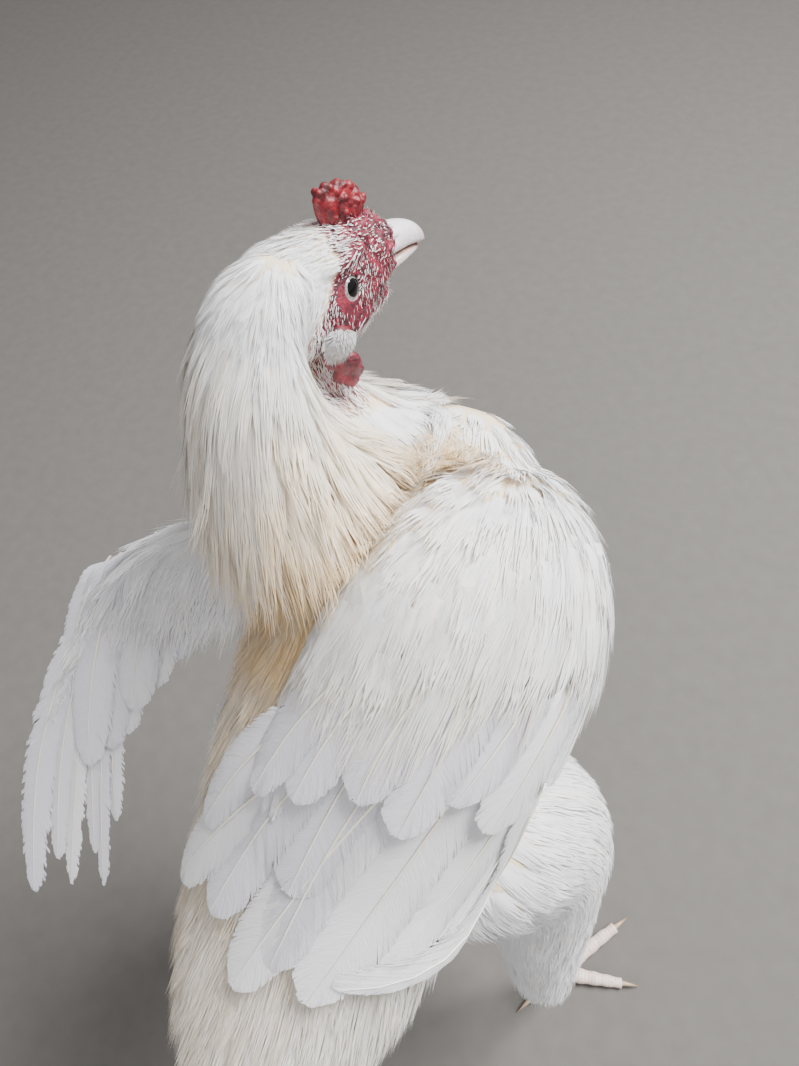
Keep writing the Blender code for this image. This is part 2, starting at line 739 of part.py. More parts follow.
def feet():
    for side in LEGS:
        ball_place = Vector(LEGS[side]["ball"])
        sign = 1.0 if side == "left" else -1.0
        foot = ball(f"foot_{side}", ball_place, (BALL_RADIUS, BALL_RADIUS, BALL_RADIUS),
                    "pale_scale", "aseel", None, 10, 8)
        made = {}
        for name, angle, length, radius in TOES:
            direction = Matrix.Rotation(radians(sign * angle), 3, "Z") @ foot_forward(side)
            made[name] = toe_and_claw(side, name, ball_place, direction, length, radius)
        for name in ("inner", "outer"):
            cut_clear(made[name], made["middle"])
        shank_end = shank_cutter(side)
        cut(foot, shank_end)
        flatten(foot)


def shank_cutter(side):
    down, front = shank_frame(side)
    across = down.cross(front)
    end = Vector(LEGS[side]["ball"]) - down * (BALL_RADIUS * 0.55 - GAP)
    start = end - down * 0.03
    rings = []
    for centre in (start, end):
        rings.append([
            centre + across * (0.02 * cos(2 * pi * i / 12)) + front * (0.02 * sin(2 * pi * i / 12))
            for i in range(12)
        ])
    return loft("shank cutter", rings, "pale_scale", "cutters")


def flatten(obj):
    """Presses what would lie under the floor up to it."""
    for vertex in obj.data.vertices:
        vertex.co.z = max(vertex.co.z, 0.0)


def toe_and_claw(side, name, start, direction, length, radius):
    across = Vector((-direction.y, direction.x, 0.0))
    root = BALL_RADIUS * 0.93
    joints = 4 if name != "hind" else 2
    steps = joints * 2
    rings = []
    for k in range(steps + 1):
        t = k / steps
        size = radius * (1.0 - 0.38 * t)
        pad = 1.0 + (0.08 if k % 2 == 0 else -0.04)
        along = root + (length - root) * t
        height = size * pad * 0.90
        centre = start.xy.to_3d() + direction * along + Vector((0.0, 0.0, height + 0.0012 * sin(pi * t)))
        ring = []
        for i in range(TOE_POINTS):
            angle = 2 * pi * (i + 0.5) / TOE_POINTS
            rise = SCUTE_RISE if sin(angle) > 0.2 and k % 2 else 0.0
            point = centre + across * (size * pad * cos(angle))
            point.z = max(point.z + (size * pad + rise) * sin(angle), 0.0)
            ring.append(point)
        rings.append(ring)
    toe = loft(f"toe_{name}_{side}", rings, "pale_scale")
    cut(toe, ball("ball cutter", Vector(LEGS[side]["ball"]), (BALL_RADIUS + GAP,) * 3,
                  "pale_scale", "cutters", None, 10, 8))
    tip = start.xy.to_3d() + direction * (length + GAP)
    base_radius = radius * 0.62 * 0.74
    rings = []
    for k in range(5):
        t = k / 4
        size = max(base_radius * (1.0 - t) ** 0.75, 0.0003)
        centre = tip + direction * (CLAW_LENGTH * t) + Vector(
            (0.0, 0.0, base_radius * 1.5 + 0.0030 * sin(pi * t * 0.9) - base_radius * 0.9 * t)
        )
        turns = [2 * pi * i / CLAW_POINTS for i in range(CLAW_POINTS)]
        rings.append([
            centre + across * (size * 0.8 * cos(turn)) - DOWN * (size * 1.1 * sin(turn)) for turn in turns
        ])
    loft(f"claw_{name}_{side}", rings, "ivory_horn")
    return toe


def spurs():
    """A short blunt spur on the inner back of each shank."""
    for side in LEGS:
        sign = 1.0 if side == "left" else -1.0
        down, front = shank_frame(side)
        across = down.cross(front)
        if across.x * sign > 0:
            across = -across
        out = (across * 0.75 - front * 0.66).normalized()
        place = Vector(LEGS[side]["hock"]).lerp(Vector(LEGS[side]["ball"]), 0.62)
        rings = tube_rings([
            (*(place + out * (SHANK_RADIUS * 0.6 + SPUR_LENGTH * t) - down * (0.002 * t * t)),
             max(0.0048 * (1.0 - t) ** 0.7, 0.0006))
            for t in (0.0, 0.3, 0.6, 0.85, 1.0)
        ], 10, down)
        spur = loft(f"spur_{side}", rings, "ivory_horn")
        cut(spur, shank_body_cutter(side))


def shank_body_cutter(side):
    down, front = shank_frame(side)
    across = down.cross(front)
    rings = []
    for t in (0.3, 0.9):
        centre = Vector(LEGS[side]["hock"]).lerp(Vector(LEGS[side]["ball"]), t)
        radius = SHANK_RADIUS * 1.12 + 2 * GAP + SCUTE_RISE
        turns = [2 * pi * i / SHANK_POINTS for i in range(SHANK_POINTS)]
        rings.append([
            centre + across * (radius * SHANK_NARROW * cos(turn)) + front * (radius * sin(turn))
            for turn in turns
        ])
    return loft("shank cutter", rings, "pale_scale", "cutters")


def wing_pad(name, rows, count, material="white_feather", collection="aseel"):
    """A smooth shell on the trunk, from one angle to another, thickest in its middle."""
    rings = []
    across = WING_COLUMNS
    for along, first, last, thickness in smooth_rows(rows, count):
        outer = []
        inner = []
        for i in range(across + 1):
            t = i / across
            angle = radians(first + (last - first) * t)
            rise = thickness * (0.16 + 0.84 * sin(pi * min(max(t, 0.0), 1.0)) ** 0.7)
            outer.append(trunk_point(along, angle, rise))
            inner.append(trunk_point(along, angle, -WING_SINK))
        rings.append(outer + inner[::-1])
    return loft(name, rings, material, collection)


def left_wing_arm():
    """The arm from the shoulder out to the wrist: rows of along, out, left of its front edge,
    along of its rear edge, and the thickness at each."""
    rings = []
    for along, out, left, rear, front_thick, rear_thick in smooth_rows(ARM_CORE, 7):
        front = body_point(along, out, left)
        back = body_point(rear, out - 0.004, left - 0.004)
        rings.append(blade_ring(front, back, front_thick, rear_thick))
    arm = loft("wing_left_arm", rings, "white_feather")
    return cut(arm, trunk_object("trunk cutter", GAP, "cutters"))


def left_wing_hand():
    """The hand from the wrist: rows of along, out, left of its outer and inner edges, and thickness."""
    rings = []
    for along, out, left, inner, front_thick, rear_thick in smooth_rows(HAND_CORE, 6):
        rings.append(blade_ring(body_point(along, out, left), body_point(along, out - 0.002, inner),
                                front_thick, rear_thick))
    return loft("wing_left_hand", rings, "white_feather")


def blade_ring(front, back, front_thick, rear_thick):
    """Eight points round a flat section, from its thick edge to its thin one."""
    middle = front.lerp(back, 0.35)
    return [
        front, front.lerp(middle, 0.35) + OUT * (front_thick * 0.5), middle + OUT * (front_thick * 0.45),
        back.lerp(middle, 0.3) + OUT * (rear_thick * 0.6), back,
        back.lerp(middle, 0.3) - OUT * (rear_thick * 0.4), middle - OUT * (front_thick * 0.45),
        front.lerp(middle, 0.35) - OUT * (front_thick * 0.5),
    ]


def tail_directions():
    back = Matrix.Rotation(TAIL_LIFT, 3, LEFT) @ -ALONG
    if back.z < (-ALONG).z:
        back = Matrix.Rotation(-TAIL_LIFT, 3, LEFT) @ -ALONG
    up = LEFT.cross(back).normalized()
    if up.dot(OUT) < 0:
        up = -up
    return back, up


def tree_of(objects):
    """A tree of the objects' faces, for finding what lies under a feather."""
    points = []
    faces = []
    for obj in objects:
        start = len(points)
        points += [vertex.co.copy() for vertex in obj.data.vertices]
        faces += [[start + i for i in face.vertices] for face in obj.data.polygons]
    return BVHTree.FromPolygons(points, faces)


def height_over(trees, point, out):
    """How far the highest surface stands above a point."""
    found = -REACH
    for tree in trees:
        distance = tree.ray_cast(point + out * REACH, -out, 2 * REACH)[3]
        if distance is not None:
            found = max(found, REACH - distance)
    return found


def plate(name, lower, outs, thicknesses, collection):
    """A thin closed plate over rows of points, split into triangles alike on both faces."""
    bm = bmesh.new()
    under = [[bm.verts.new(p) for p in row] for row in lower]
    over = [
        [bm.verts.new(p + n * t) for p, n, t in zip(row, out, thick)]
        for row, out, thick in zip(lower, outs, thicknesses)
    ]
    last_row = len(under) - 1
    last = len(under[0]) - 1
    for k in range(last_row):
        for j in range(last):
            for face in (over, under):
                bm.faces.new((face[k][j], face[k][j + 1], face[k + 1][j + 1]))
                bm.faces.new((face[k][j], face[k + 1][j + 1], face[k + 1][j]))
        for j in (0, last):
            bm.faces.new((under[k][j], over[k][j], over[k + 1][j]))
            bm.faces.new((under[k][j], over[k + 1][j], under[k + 1][j]))
    for k in (0, last_row):
        for j in range(last):
            bm.faces.new((under[k][j], over[k][j], over[k][j + 1]))
            bm.faces.new((under[k][j], over[k][j + 1], under[k][j + 1]))
    return object_from(bm, name, "white_feather", collection)


def lay_row(lines, shape, half_width, rises, raised, collection,
            columns=1, clear_of=(), most_lift=1.0):
    """Lays a row of vanes like shingles, each with one edge lifted over its neighbour.

    A line(s, w) gives the place w to the side of a vane's middle, and the way out there.
    The rises are heights over it at the stations. Past its root a vane is lifted clear of
    the trees in clear_of, and left out where that takes more than most_lift.
    """
    for i, line in enumerate(lines):
        neighbour = lines[i + 1] if i + 1 < len(lines) else lines[i - 1]
        width = half_width * (1.0 + 0.07 * sin(5.0 * i))
        for extra in EXTRA_LIFTS:
            lifts = [rises[0]] + [rise + extra for rise in rises[1:]]
            vane, most = one_vane(line, neighbour, shape, width, lifts, raised,
                                  collection, columns, clear_of)
            if most <= most_lift and not crosses(vane, clear_of):
                break
            bpy.data.objects.remove(vane)


def crosses(obj, trees):
    own = tree_of([obj])
    return any(own.overlap(tree) for tree in trees)


def one_vane(line, neighbour, shape, width, rises, raised, collection, columns, clear_of):
    """Builds one vane and says how far it had to be lifted."""
    lower = []
    outs = []
    thicknesses = []
    most = 0.0
    for (s, share), rise in zip(zip(*shape), rises):
        spacing = (line(s, 0.0)[0] - neighbour(s, 0.0)[0]).length
        slope = raised * (VANE_THICKNESS + SHINGLE_GAP) / max(spacing, LEAST_SPACING)
        sides = [(2.0 * j / columns - 1.0) * width * share for j in range(columns + 1)]
        places = [line(s, across) for across in sides]
        base = rise
        if s > 0.0:
            for (point, out), across in zip(places, sides):
                need = height_over(clear_of, point, out) + CLEARANCE - slope * across
                base = max(base, need)
        most = max(most, base - rise)
        lower.append([
            point + out * (base + slope * across) for (point, out), across in zip(places, sides)
        ])
        outs.append([out for point, out in places])
        thicknesses.append([
            SHAFT_THICKNESS if columns == 2 and j == 1 else VANE_THICKNESS for j in range(columns + 1)
        ])
    return plate("vane", lower, outs, thicknesses, collection), most


def mix(first, last, share):
    return tuple(a + (b - a) * share for a, b in zip(first, last))


def along_row(row, share):
    """Values between the entries of a row, at a share of its length."""
    place = share * (len(row) - 1)
    k = min(int(place), len(row) - 2)
    return mix(row[k], row[k + 1], place - k)


def trunk_line(root, tip, rise=None, bow=0.0):
    """A line over the trunk from root to tip, both (along, angle in degrees); rise adds a height."""
    def line(s, across):
        along, angle = mix(root, tip, s)
        angle = radians(angle + bow * sin(pi * s))
        girth = (trunk_point(along, angle + 0.05) - trunk_point(along, angle - 0.05)).length / 0.1
        step_along = tip[0] - root[0]
        step_round = radians(tip[1] - root[1]) * girth
        length = (step_along**2 + step_round**2) ** 0.5
        along += step_round / length * across
        angle -= step_along / length * across / max(girth, 0.02)
        base = trunk_point(along, angle)
        out = (trunk_point(along, angle, 0.01) - base).normalized()
        return base + out * (rise(along, angle) if rise else 0.0), out
    return line


def pad_rise(along, angle):
    """Height of the folded wing's core over the trunk."""
    rows = smooth_rows(WING_PAD, 49)[::-1]
    first, last, thickness = (float(np.interp(along, rows[:, 0], rows[:, k])) for k in (1, 2, 3))
    t = min(max((np.degrees(angle) - first) / (last - first), 0.0), 1.0)
    return thickness * (0.16 + 0.84 * sin(pi * t) ** 0.7)


def right_wing(neck, thigh):
    wing = wing_pad("wing_right", WING_PAD, 12)
    cut(wing, trunk_object("trunk cutter", 1.5 * GAP, "cutters"))
    cut_clear(wing, neck)
    around = tree_of([neck])
    for roots, tips, count, half_width, rises, shape, columns in RIGHT_TIERS:
        lines = []
        for i in range(count):
            share = i / (count - 1)
            lines.append(trunk_line(along_row(roots, share), along_row(tips, share), pad_rise, 4.0))
        lay_row(lines, shape, half_width, rises, -1.0, "vanes", columns, [around], WING_LIFT)
    fused(wing, "vanes")
    return cut_clear(wing, thigh)


def flat_line(root, tip, droop, bow=0.0):
    """A line in the open wing from root to tip, both (along, out, left), sagging towards the tip."""
    def line(s, across):
        along, out, left = mix(root, tip, s)
        step_along = tip[0] - root[0]
        step_left = tip[2] - root[2]
        length = (step_along**2 + step_left**2) ** 0.5
        across += bow * sin(pi * s)
        along += step_left / length * across
        left -= step_along / length * across
        return body_point(along, out - droop * s * s, left), OUT
    return line


def open_wing(core, tiers, others, collection):
    """Lays tiers of vanes on one part of the left wing, and fuses them into it."""
    for roots, tips, count, half_width, rises, shape in tiers:
        lines = []
        for i in range(count):
            share = i / (count - 1)
            lines.append(flat_line(along_row(roots, share), along_row(tips, share), 0.004, -0.003))
        lay_row(lines, shape, half_width, rises, 1.0, collection, 1, others)
    return fused(core, collection)


def neck_line(root, tip, angle, twist, flare):
    """A line down the neck at an angle round it, leaving it by the flare at the tip."""
    rows = neck_rows(41)

    def line(s, across):
        place = max((root + (tip - root) * s) * 40.0, 0.0)
        turn = angle + twist * s
        before, after = (neck_point(rows, place, turn + step)[0] for step in (-0.05, 0.05))
        girth = (after - before).length / 0.1
        point, out = neck_point(rows, place, turn + across / max(girth, 0.01))
        return point + out * (flare * s * s), out
    return line


def hackle(neck, others):
    """Pointed neck feathers in tiers, the upper ones over the lower."""
    for tier, (root, tip, count, half_width, flare) in enumerate(HACKLE_TIERS):
        lines = []
        for i in range(count + 1):
            angle = 2 * pi * (i + 0.5 * (tier % 2)) / count
            vary = 0.025 * sin(7.0 * (i % count) + 2.0 * tier)
            lines.append(neck_line(root + 0.5 * vary, tip + vary, angle, 0.10, flare))
        lay_row(lines[:count], HACKLE, half_width, HACKLE_RISES, 1.0, "hackle", 1, others, HACKLE_LIFT)
    return fused(neck, "hackle")


def saddle(torso, others):
    """Long pointed feathers over the rump and down the left flank."""
    for root, tip, first, last, count, half_width, stand in SADDLE_TIERS:
        lines = []
        for i in range(count):
            angle = first + (last - first) * i / (count - 1)
            vary = 0.006 * sin(5.0 * i)
            lines.append(trunk_line((root + 0.5 * vary, angle), (tip + vary, angle * 0.96)))
        rises = (-ROOT_SINK, 0.0028, 0.0010 + 0.6 * stand, stand)
        lay_row(lines, HACKLE, half_width, rises, 1.0, "saddle", 1, others)
    return fused(torso, "saddle")


def tail_line(start, back, up, fan, roof, length, curve):
    """A line from the tail's root: roof tilts its face, fan turns it in that face, curve bends it down."""
    out = Matrix.Rotation(roof, 3, back) @ up
    ahead = Matrix.Rotation(fan, 3, out) @ back
    side = ahead.cross(out).normalized()

    def line(s, across):
        reach = ahead * (length * s) + side * across
        return start + reach - up * (curve * reach.dot(back) ** 2), out
    return line


def tail():
    back, up = tail_directions()
    start = body_point(TAIL_ROOT[0] - GAP * 2, TAIL_ROOT[1])
    rings = []
    for distance, half_width, half_height, drop in smooth_rows(TAIL_CORE, 5):
        centre = start + back * distance + DOWN * drop
        rings.append([
            centre + LEFT * (half_width * cos(2 * pi * i / 12)) + up * (half_height * sin(2 * pi * i / 12))
            for i in range(12)
        ])
    rings[0] = [p - ALONG * (p - start).dot(ALONG) for p in rings[0]]
    core = loft("tail", rings, "white_feather")
    for sign in (-1, 1):
        for i in range(TAIL_FEATHERS):
            place = (start + back * 0.022 + LEFT * (sign * 0.0095)
                     + up * (0.006 - TAIL_STEP * i / cos(TAIL_ROOF)))
            line = tail_line(place, back, up, -sign * radians(2.5 + 3.4 * i), sign * TAIL_ROOF,
                             TAIL_LENGTH * (1.0 - 0.04 * i), TAIL_CURVE)
            lay_row([line], FLIGHT, TAIL_HALF_WIDTH, (0.0,) * 5, 0.0, "tail parts")
        for k, (length, curve, half_width, fan) in enumerate(SICKLES):
            place = (start + back * 0.010 + LEFT * (sign * (0.0085 + 0.0020 * k))
                     + up * (0.0080 + TAIL_STEP * k))
            line = tail_line(place, back, up, -sign * fan, sign * TAIL_ROOF, length, curve)
            lay_row([line], FLIGHT, half_width, (0.0,) * 5, 0.0, "tail parts")
    return fused(core, "tail parts")


def build():
    torso = trunk_object()
    neck = neck_core()
    head = head_object()
    eyes()
    bill()
    cut_clear(comb(), head)
    ears = earlobes() + ear_patches()
    for piece in ears:
        cut_clear(piece, head)
    thighs_made = thighs()
    for thigh, shank in zip(thighs_made, shanks()):
        cut_clear(shank, thigh)
    feet()
    spurs()
    rump = tail()
    saddle(torso, [tree_of([rump] + thighs_made)])
    right = right_wing(neck, thighs_made[0])
    arm = left_wing_arm()
    cut_clear(arm, neck)
    hand = left_wing_hand()
    cut_clear(hand, arm)
    open_wing(hand, HAND_TIERS, [tree_of([arm])], "hand vanes")
    open_wing(arm, ARM_TIERS, [tree_of([hand, torso, neck])], "arm vanes")
    hackle(neck, [tree_of([torso, right, arm, head])])
    cut(neck, trunk_object("trunk cutter", GAP, "cutters"))
    cut_clear(neck, head, 1.5 * GAP)
    for piece in ears:
        cut_clear(neck, piece, 1.7 * GAP)


def set_origin():
    """Moves the whole bird so that the origin is under the middle of its box, on the floor."""
    nodes = list(collection_of("aseel").objects)
    corners = np.array([vertex.co for node in nodes for vertex in node.data.vertices])
    low, high = corners.min(axis=0), corners.max(axis=0)
    shift = Vector((-(low[0] + high[0]) / 2, -(low[1] + high[1]) / 2, -low[2]))
    for node in nodes:
        node.data.transform(Matrix.Translation(shift))
        node.data.shade_smooth()
        node.data.set_sharp_from_angle(angle=SHARP_ANGLE)


def main():
    clear_scene()
    make_materials()
    build()
    set_origin()


main()
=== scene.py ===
"""A white aseel cock standing with its head turned back: skin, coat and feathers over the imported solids.

Metres, +Z up. The bird faces -Y, so its right side is at -X and its left at +X.
"""

import bmesh
import bpy
import numpy as np
from math import atan2, cos, pi, radians, sin
from mathutils import Matrix, Vector
from mathutils.bvhtree import BVHTree


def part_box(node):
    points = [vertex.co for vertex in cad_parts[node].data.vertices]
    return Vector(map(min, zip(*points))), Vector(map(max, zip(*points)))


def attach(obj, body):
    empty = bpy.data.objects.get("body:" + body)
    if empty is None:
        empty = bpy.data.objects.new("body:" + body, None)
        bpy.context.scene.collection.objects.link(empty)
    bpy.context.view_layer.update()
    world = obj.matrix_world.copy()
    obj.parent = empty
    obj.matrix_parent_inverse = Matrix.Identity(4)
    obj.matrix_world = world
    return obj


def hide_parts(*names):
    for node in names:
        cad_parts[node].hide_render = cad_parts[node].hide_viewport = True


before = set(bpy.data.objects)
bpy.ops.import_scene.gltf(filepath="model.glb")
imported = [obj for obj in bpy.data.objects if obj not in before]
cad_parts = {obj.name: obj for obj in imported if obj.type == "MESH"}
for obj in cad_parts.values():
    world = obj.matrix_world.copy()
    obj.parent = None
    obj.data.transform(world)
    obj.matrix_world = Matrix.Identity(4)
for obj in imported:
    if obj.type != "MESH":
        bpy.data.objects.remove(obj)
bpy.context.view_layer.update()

# The bird's stance, the same as in the solids
BODY_PITCH = radians(39.9)
BODY_ROLL = radians(3.9)
HEAD_TURN = radians(20.0)
HEAD_RAISE = radians(-2.0)
HEAD_TILT = radians(-7.0)
EYE_PLACE = Vector((-0.0066, 0.0125, 0.0020))
EYE_RADIUS = 0.0078
EYE_TURN = radians(19.0)
EYE_LIFT = radians(10.0)

# Directions of the body: along the back towards the neck, out of the back, to its left
ALONG = Vector((0.0, -cos(BODY_PITCH), sin(BODY_PITCH)))
ACROSS = Matrix.Rotation(BODY_ROLL, 3, ALONG)
OUT = ACROSS @ Vector((0.0, sin(BODY_PITCH), cos(BODY_PITCH)))
LEFT = ACROSS @ Vector((1.0, 0.0, 0.0))


def head_axes():
    """Turns the head's own directions (forward, left, up) into the world's."""
    ahead = cos(HEAD_RAISE)
    forward = Vector((-sin(HEAD_TURN) * ahead, -cos(HEAD_TURN) * ahead, sin(HEAD_RAISE)))
    left = Vector((0.0, 0.0, 1.0)).cross(forward).normalized()
    up = forward.cross(left)
    tilt = Matrix.Rotation(HEAD_TILT, 3, forward)
    return Matrix((forward, tilt @ left, tilt @ up)).transposed()


HEAD_AXES = head_axes()
HEAD_DESIGN = Vector((0.0402, -0.1636, 0.6218))
eye_low, eye_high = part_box("eye_right")
RIGHT_EYE = Vector((EYE_PLACE.x, -EYE_PLACE.y, EYE_PLACE.z))
# The solids stand centred on the floor's origin, so every place here moves as their eye did
SHIFT = (eye_low + eye_high) / 2 - (HEAD_DESIGN + HEAD_AXES @ RIGHT_EYE)
BODY_CENTRE = Vector((-0.015, 0.006, 0.413)) + SHIFT
HEAD_CENTRE = HEAD_DESIGN + SHIFT
HEAD = Matrix.Translation(HEAD_CENTRE) @ HEAD_AXES.to_4x4()

# The trunk: along, out, half width, reach to the back, reach to the breast
TRUNK = (
    (-0.130, 0.030, 0.020, 0.016, 0.020),
    (-0.118, 0.027, 0.042, 0.027, 0.038),
    (-0.080, 0.016, 0.060, 0.042, 0.060),
    (-0.040, 0.006, 0.069, 0.052, 0.076),
    (0.005, 0.000, 0.073, 0.059, 0.086),
    (0.055, -0.002, 0.075, 0.062, 0.090),
    (0.105, -0.003, 0.073, 0.062, 0.088),
    (0.150, -0.004, 0.066, 0.058, 0.080),
    (0.188, -0.006, 0.053, 0.046, 0.066),
    (0.213, -0.010, 0.036, 0.030, 0.046),
    (0.226, -0.014, 0.014, 0.012, 0.020),
)
# The neck and the hood of feathers round the back of the head: centre, radius, reach to the front
NECK = (
    (-0.002, -0.096, 0.486, 0.042, 0.076),
    (0.014, -0.100, 0.520, 0.045, 0.082),
    (0.033, -0.102, 0.556, 0.043, 0.073),
    (0.045, -0.110, 0.588, 0.036, 0.048),
    (0.049, -0.125, 0.614, 0.0305, 0.030),
    (0.047, -0.136, 0.634, 0.0225, 0.022),
    (0.046, -0.141, 0.646, 0.010, 0.010),
)
# Each leg: thigh, knee, hock and ball of the foot, and how far the foot turns out
LEGS = {
    "right": ((-0.046, -0.016, 0.402), (-0.098, -0.058, 0.318), (-0.138, 0.002, 0.142),
              (-0.148, -0.022, 0.012), radians(28.0)),
    "left": ((0.016, -0.016, 0.408), (0.066, -0.058, 0.322), (0.080, 0.012, 0.142),
             (0.084, -0.014, 0.012), radians(-18.0)),
}
HOCK_RADIUS = 0.0125
SHANK_RADIUS = 0.0085
BALL_RADIUS = 0.0115
TOES = (
    ("middle", 2.0, 0.066, 0.0072),
    ("inner", -38.0, 0.050, 0.0068),
    ("outer", 44.0, 0.056, 0.0066),
    ("hind", 176.0, 0.034, 0.0060),
)
CLAW_LENGTH = 0.015
SPUR_LENGTH = 0.016
SCUTES = 26
# The folded right wing's core on the trunk: along, back edge, outer edge in degrees, thickness
WING_PAD = (
    (0.207, -25.0, -120.0, 0.008),
    (0.196, -10.0, -118.0, 0.019),
    (0.172, 6.0, -116.0, 0.025),
    (0.135, 10.0, -116.0, 0.023),
    (0.095, 12.0, -114.0, 0.016),
    (0.060, 16.0, -110.0, 0.009),
    (0.030, 18.0, -104.0, 0.005),
    (0.012, 12.0, -96.0, 0.003),
)
# The open left wing's arm and hand
ARM_CORE = (
    (0.150, 0.004, 0.080, 0.108, 0.018, 0.010),
    (0.140, 0.006, 0.105, 0.090, 0.016, 0.009),
    (0.118, 0.005, 0.140, 0.062, 0.013, 0.007),
    (0.088, 0.003, 0.162, 0.040, 0.009, 0.005),
)
HAND_CORE = (
    (0.0845, 0.0025, 0.1640, 0.1560, 0.008, 0.005),
    (0.060, 0.002, 0.1710, 0.1570, 0.008, 0.005),
    (0.020, 0.000, 0.1790, 0.1680, 0.005, 0.003),
    (-0.010, 0.000, 0.1840, 0.1770, 0.003, 0.002),
)
TAIL_ROOT = (-0.1316, 0.030)
TAIL_LIFT = radians(14.0)
TAIL_CORE = ((0.000, 0.019, 0.015, 0.000), (0.025, 0.021, 0.016, 0.002), (0.055, 0.012, 0.008, 0.006))
# The skull: forward, half width, top, bottom, drop of the ring's centre
SKULL = (
    (-0.042, 0.010, 0.010, 0.011, 0.003),
    (-0.038, 0.0175, 0.0185, 0.018, 0.002),
    (-0.027, 0.0225, 0.0245, 0.0230, 0.001),
    (-0.014, 0.0215, 0.0240, 0.0240, 0.001),
    (0.000, 0.0185, 0.0215, 0.0230, 0.000),
    (0.012, 0.0160, 0.0185, 0.0190, 0.000),
    (0.021, 0.0125, 0.0135, 0.0135, -0.001),
    (0.025, 0.0095, 0.0100, 0.0105, -0.002),
)
# The bill: forward, half width, top, bottom
UPPER_BILL = (
    (0.0235, 0.0084, 0.0080, -0.0045),
    (0.0300, 0.0078, 0.0070, -0.0052),
    (0.0370, 0.0060, 0.0050, -0.0066),
    (0.0430, 0.0044, 0.0014, -0.0085),
    (0.0466, 0.0030, -0.0030, -0.0100),
    (0.0480, 0.0012, -0.0064, -0.0106),
)
LOWER_BILL = (
    (0.0235, 0.0078, -0.0046, -0.0116),
    (0.0300, 0.0072, -0.0053, -0.0112),
    (0.0350, 0.0058, -0.0062, -0.0112),
    (0.0405, 0.0036, -0.0080, -0.0114),
    (0.0440, 0.0016, -0.0094, -0.0116),
)
NOSTRIL = (0.0285, 0.0076, 0.0022)
COMB_PLACE = Vector((0.0082, 0.0, 0.0175))
COMB_LEAN = radians(19.0)
# Lobes of the comb: place of the foot, place of the tip, height, place across, size
COMB_LOBES = (
    (-0.0066, -0.0116, 0.0150, 0.0, 0.0031),
    (-0.0042, -0.0070, 0.0172, 0.0, 0.0033),
    (-0.0012, -0.0022, 0.0176, 0.0, 0.0034),
    (0.0018, 0.0026, 0.0168, 0.0, 0.0033),
    (0.0046, 0.0068, 0.0146, 0.0, 0.0032),
    (0.0068, 0.0104, 0.0110, 0.0, 0.0029),
    (-0.0040, -0.0072, 0.0120, 0.0022, 0.0026),
    (0.0002, -0.0002, 0.0125, 0.0024, 0.0026),
    (0.0042, 0.0062, 0.0105, 0.0022, 0.0025),
    (-0.0040, -0.0072, 0.0120, -0.0022, 0.0026),
    (0.0002, -0.0002, 0.0125, -0.0024, 0.0026),
    (0.0042, 0.0062, 0.0105, -0.0022, 0.0025),
)
# Folds of each earlobe: forward, out from the head, up, and the three half sizes
LOBE_FOLDS = (
    (-0.0185, 0.0200, -0.0245, 0.0050, 0.0024, 0.0062),
    (-0.0140, 0.0205, -0.0275, 0.0040, 0.0026, 0.0060),
    (-0.0225, 0.0195, -0.0190, 0.0040, 0.0022, 0.0060),
    (-0.0165, 0.0200, -0.0330, 0.0046, 0.0022, 0.0040),
    (-0.0215, 0.0200, -0.0290, 0.0030, 0.0018, 0.0040),
    (-0.0120, 0.0200, -0.0320, 0.0024, 0.0018, 0.0034),
)
# The ear patch, and the bare hollow round it: middle (forward, up), half sizes, reach to its soft edge
EAR_PLACE = (-0.0184, 0.0225, -0.0117)
EAR_RADIUS = 0.0062
EAR_DOME = 0.0034
EAR_HAIRS = 900
EAR_HOLLOW = (-0.0165, -0.0220)
EAR_HOLLOW_SIZE = (0.0150, 0.0215)
PRESSED_REACH = 2.1
# Where the hood of feathers begins on the head: forward place at each height
HOOD_HEIGHTS = (-0.030, -0.0254, -0.0125, -0.0032, 0.0067, 0.0165, 0.022)
HOOD_EDGE = (-0.012, -0.0210, -0.0295, -0.0270, -0.0152, -0.0045, -0.001)
# Behind this place the neck's feathers cover the skin again
HOOD_BACK = -0.031
# Where the soft shoulder feathers of the folded wing end: along the body at each angle
COVERT_ANGLES = (-120.0, -60.0, -53.0, -39.0, -17.0, 7.0, 11.0, 30.0)
COVERT_EDGE = (0.128, 0.140, 0.142, 0.130, 0.112, 0.102, 0.092, 0.090)
# Rings round the eye's axis in degrees, close where the colours change; pupil and iris end there
EYE_RINGS = (0.0, 3, 8, 14, 19, 23, 24.5, 25.5, 26.5, 28, 30, 32, 34, 36, 39, 44, 52, 65, 85, 110, 140, 165,
             180)
PUPIL_END = (27.2, 28.4)
IRIS_END = (32.0, 35.0)
CORNEA_END = 36.0
# Remeshed skins: size of a face in metres, and rounds of smoothing
BODY_MELT = (0.0018, 4)
HEAD_MELT = (0.00065, 3)
COMB_MELT = (0.00034, 3)
LOBE_MELT = (0.00045, 2)
# A feather's patch in the bake map is twice this across
BAKE_HALF = 0.0015
BAKE_RIM = 0.0005
SIDES = (("right", -1), ("left", 1))
# The photo's view: where the camera stands from the bird, how it is turned, and its lens
CAMERA_PLACE = Vector((-0.1254, 0.0474, 0.836))
CAMERA_YAW = radians(37.05)
CAMERA_PITCH = radians(57.12)
CAMERA_ROLL = radians(-11.61)
LENS_MM = 27.02
SENSOR_MM = 36.0
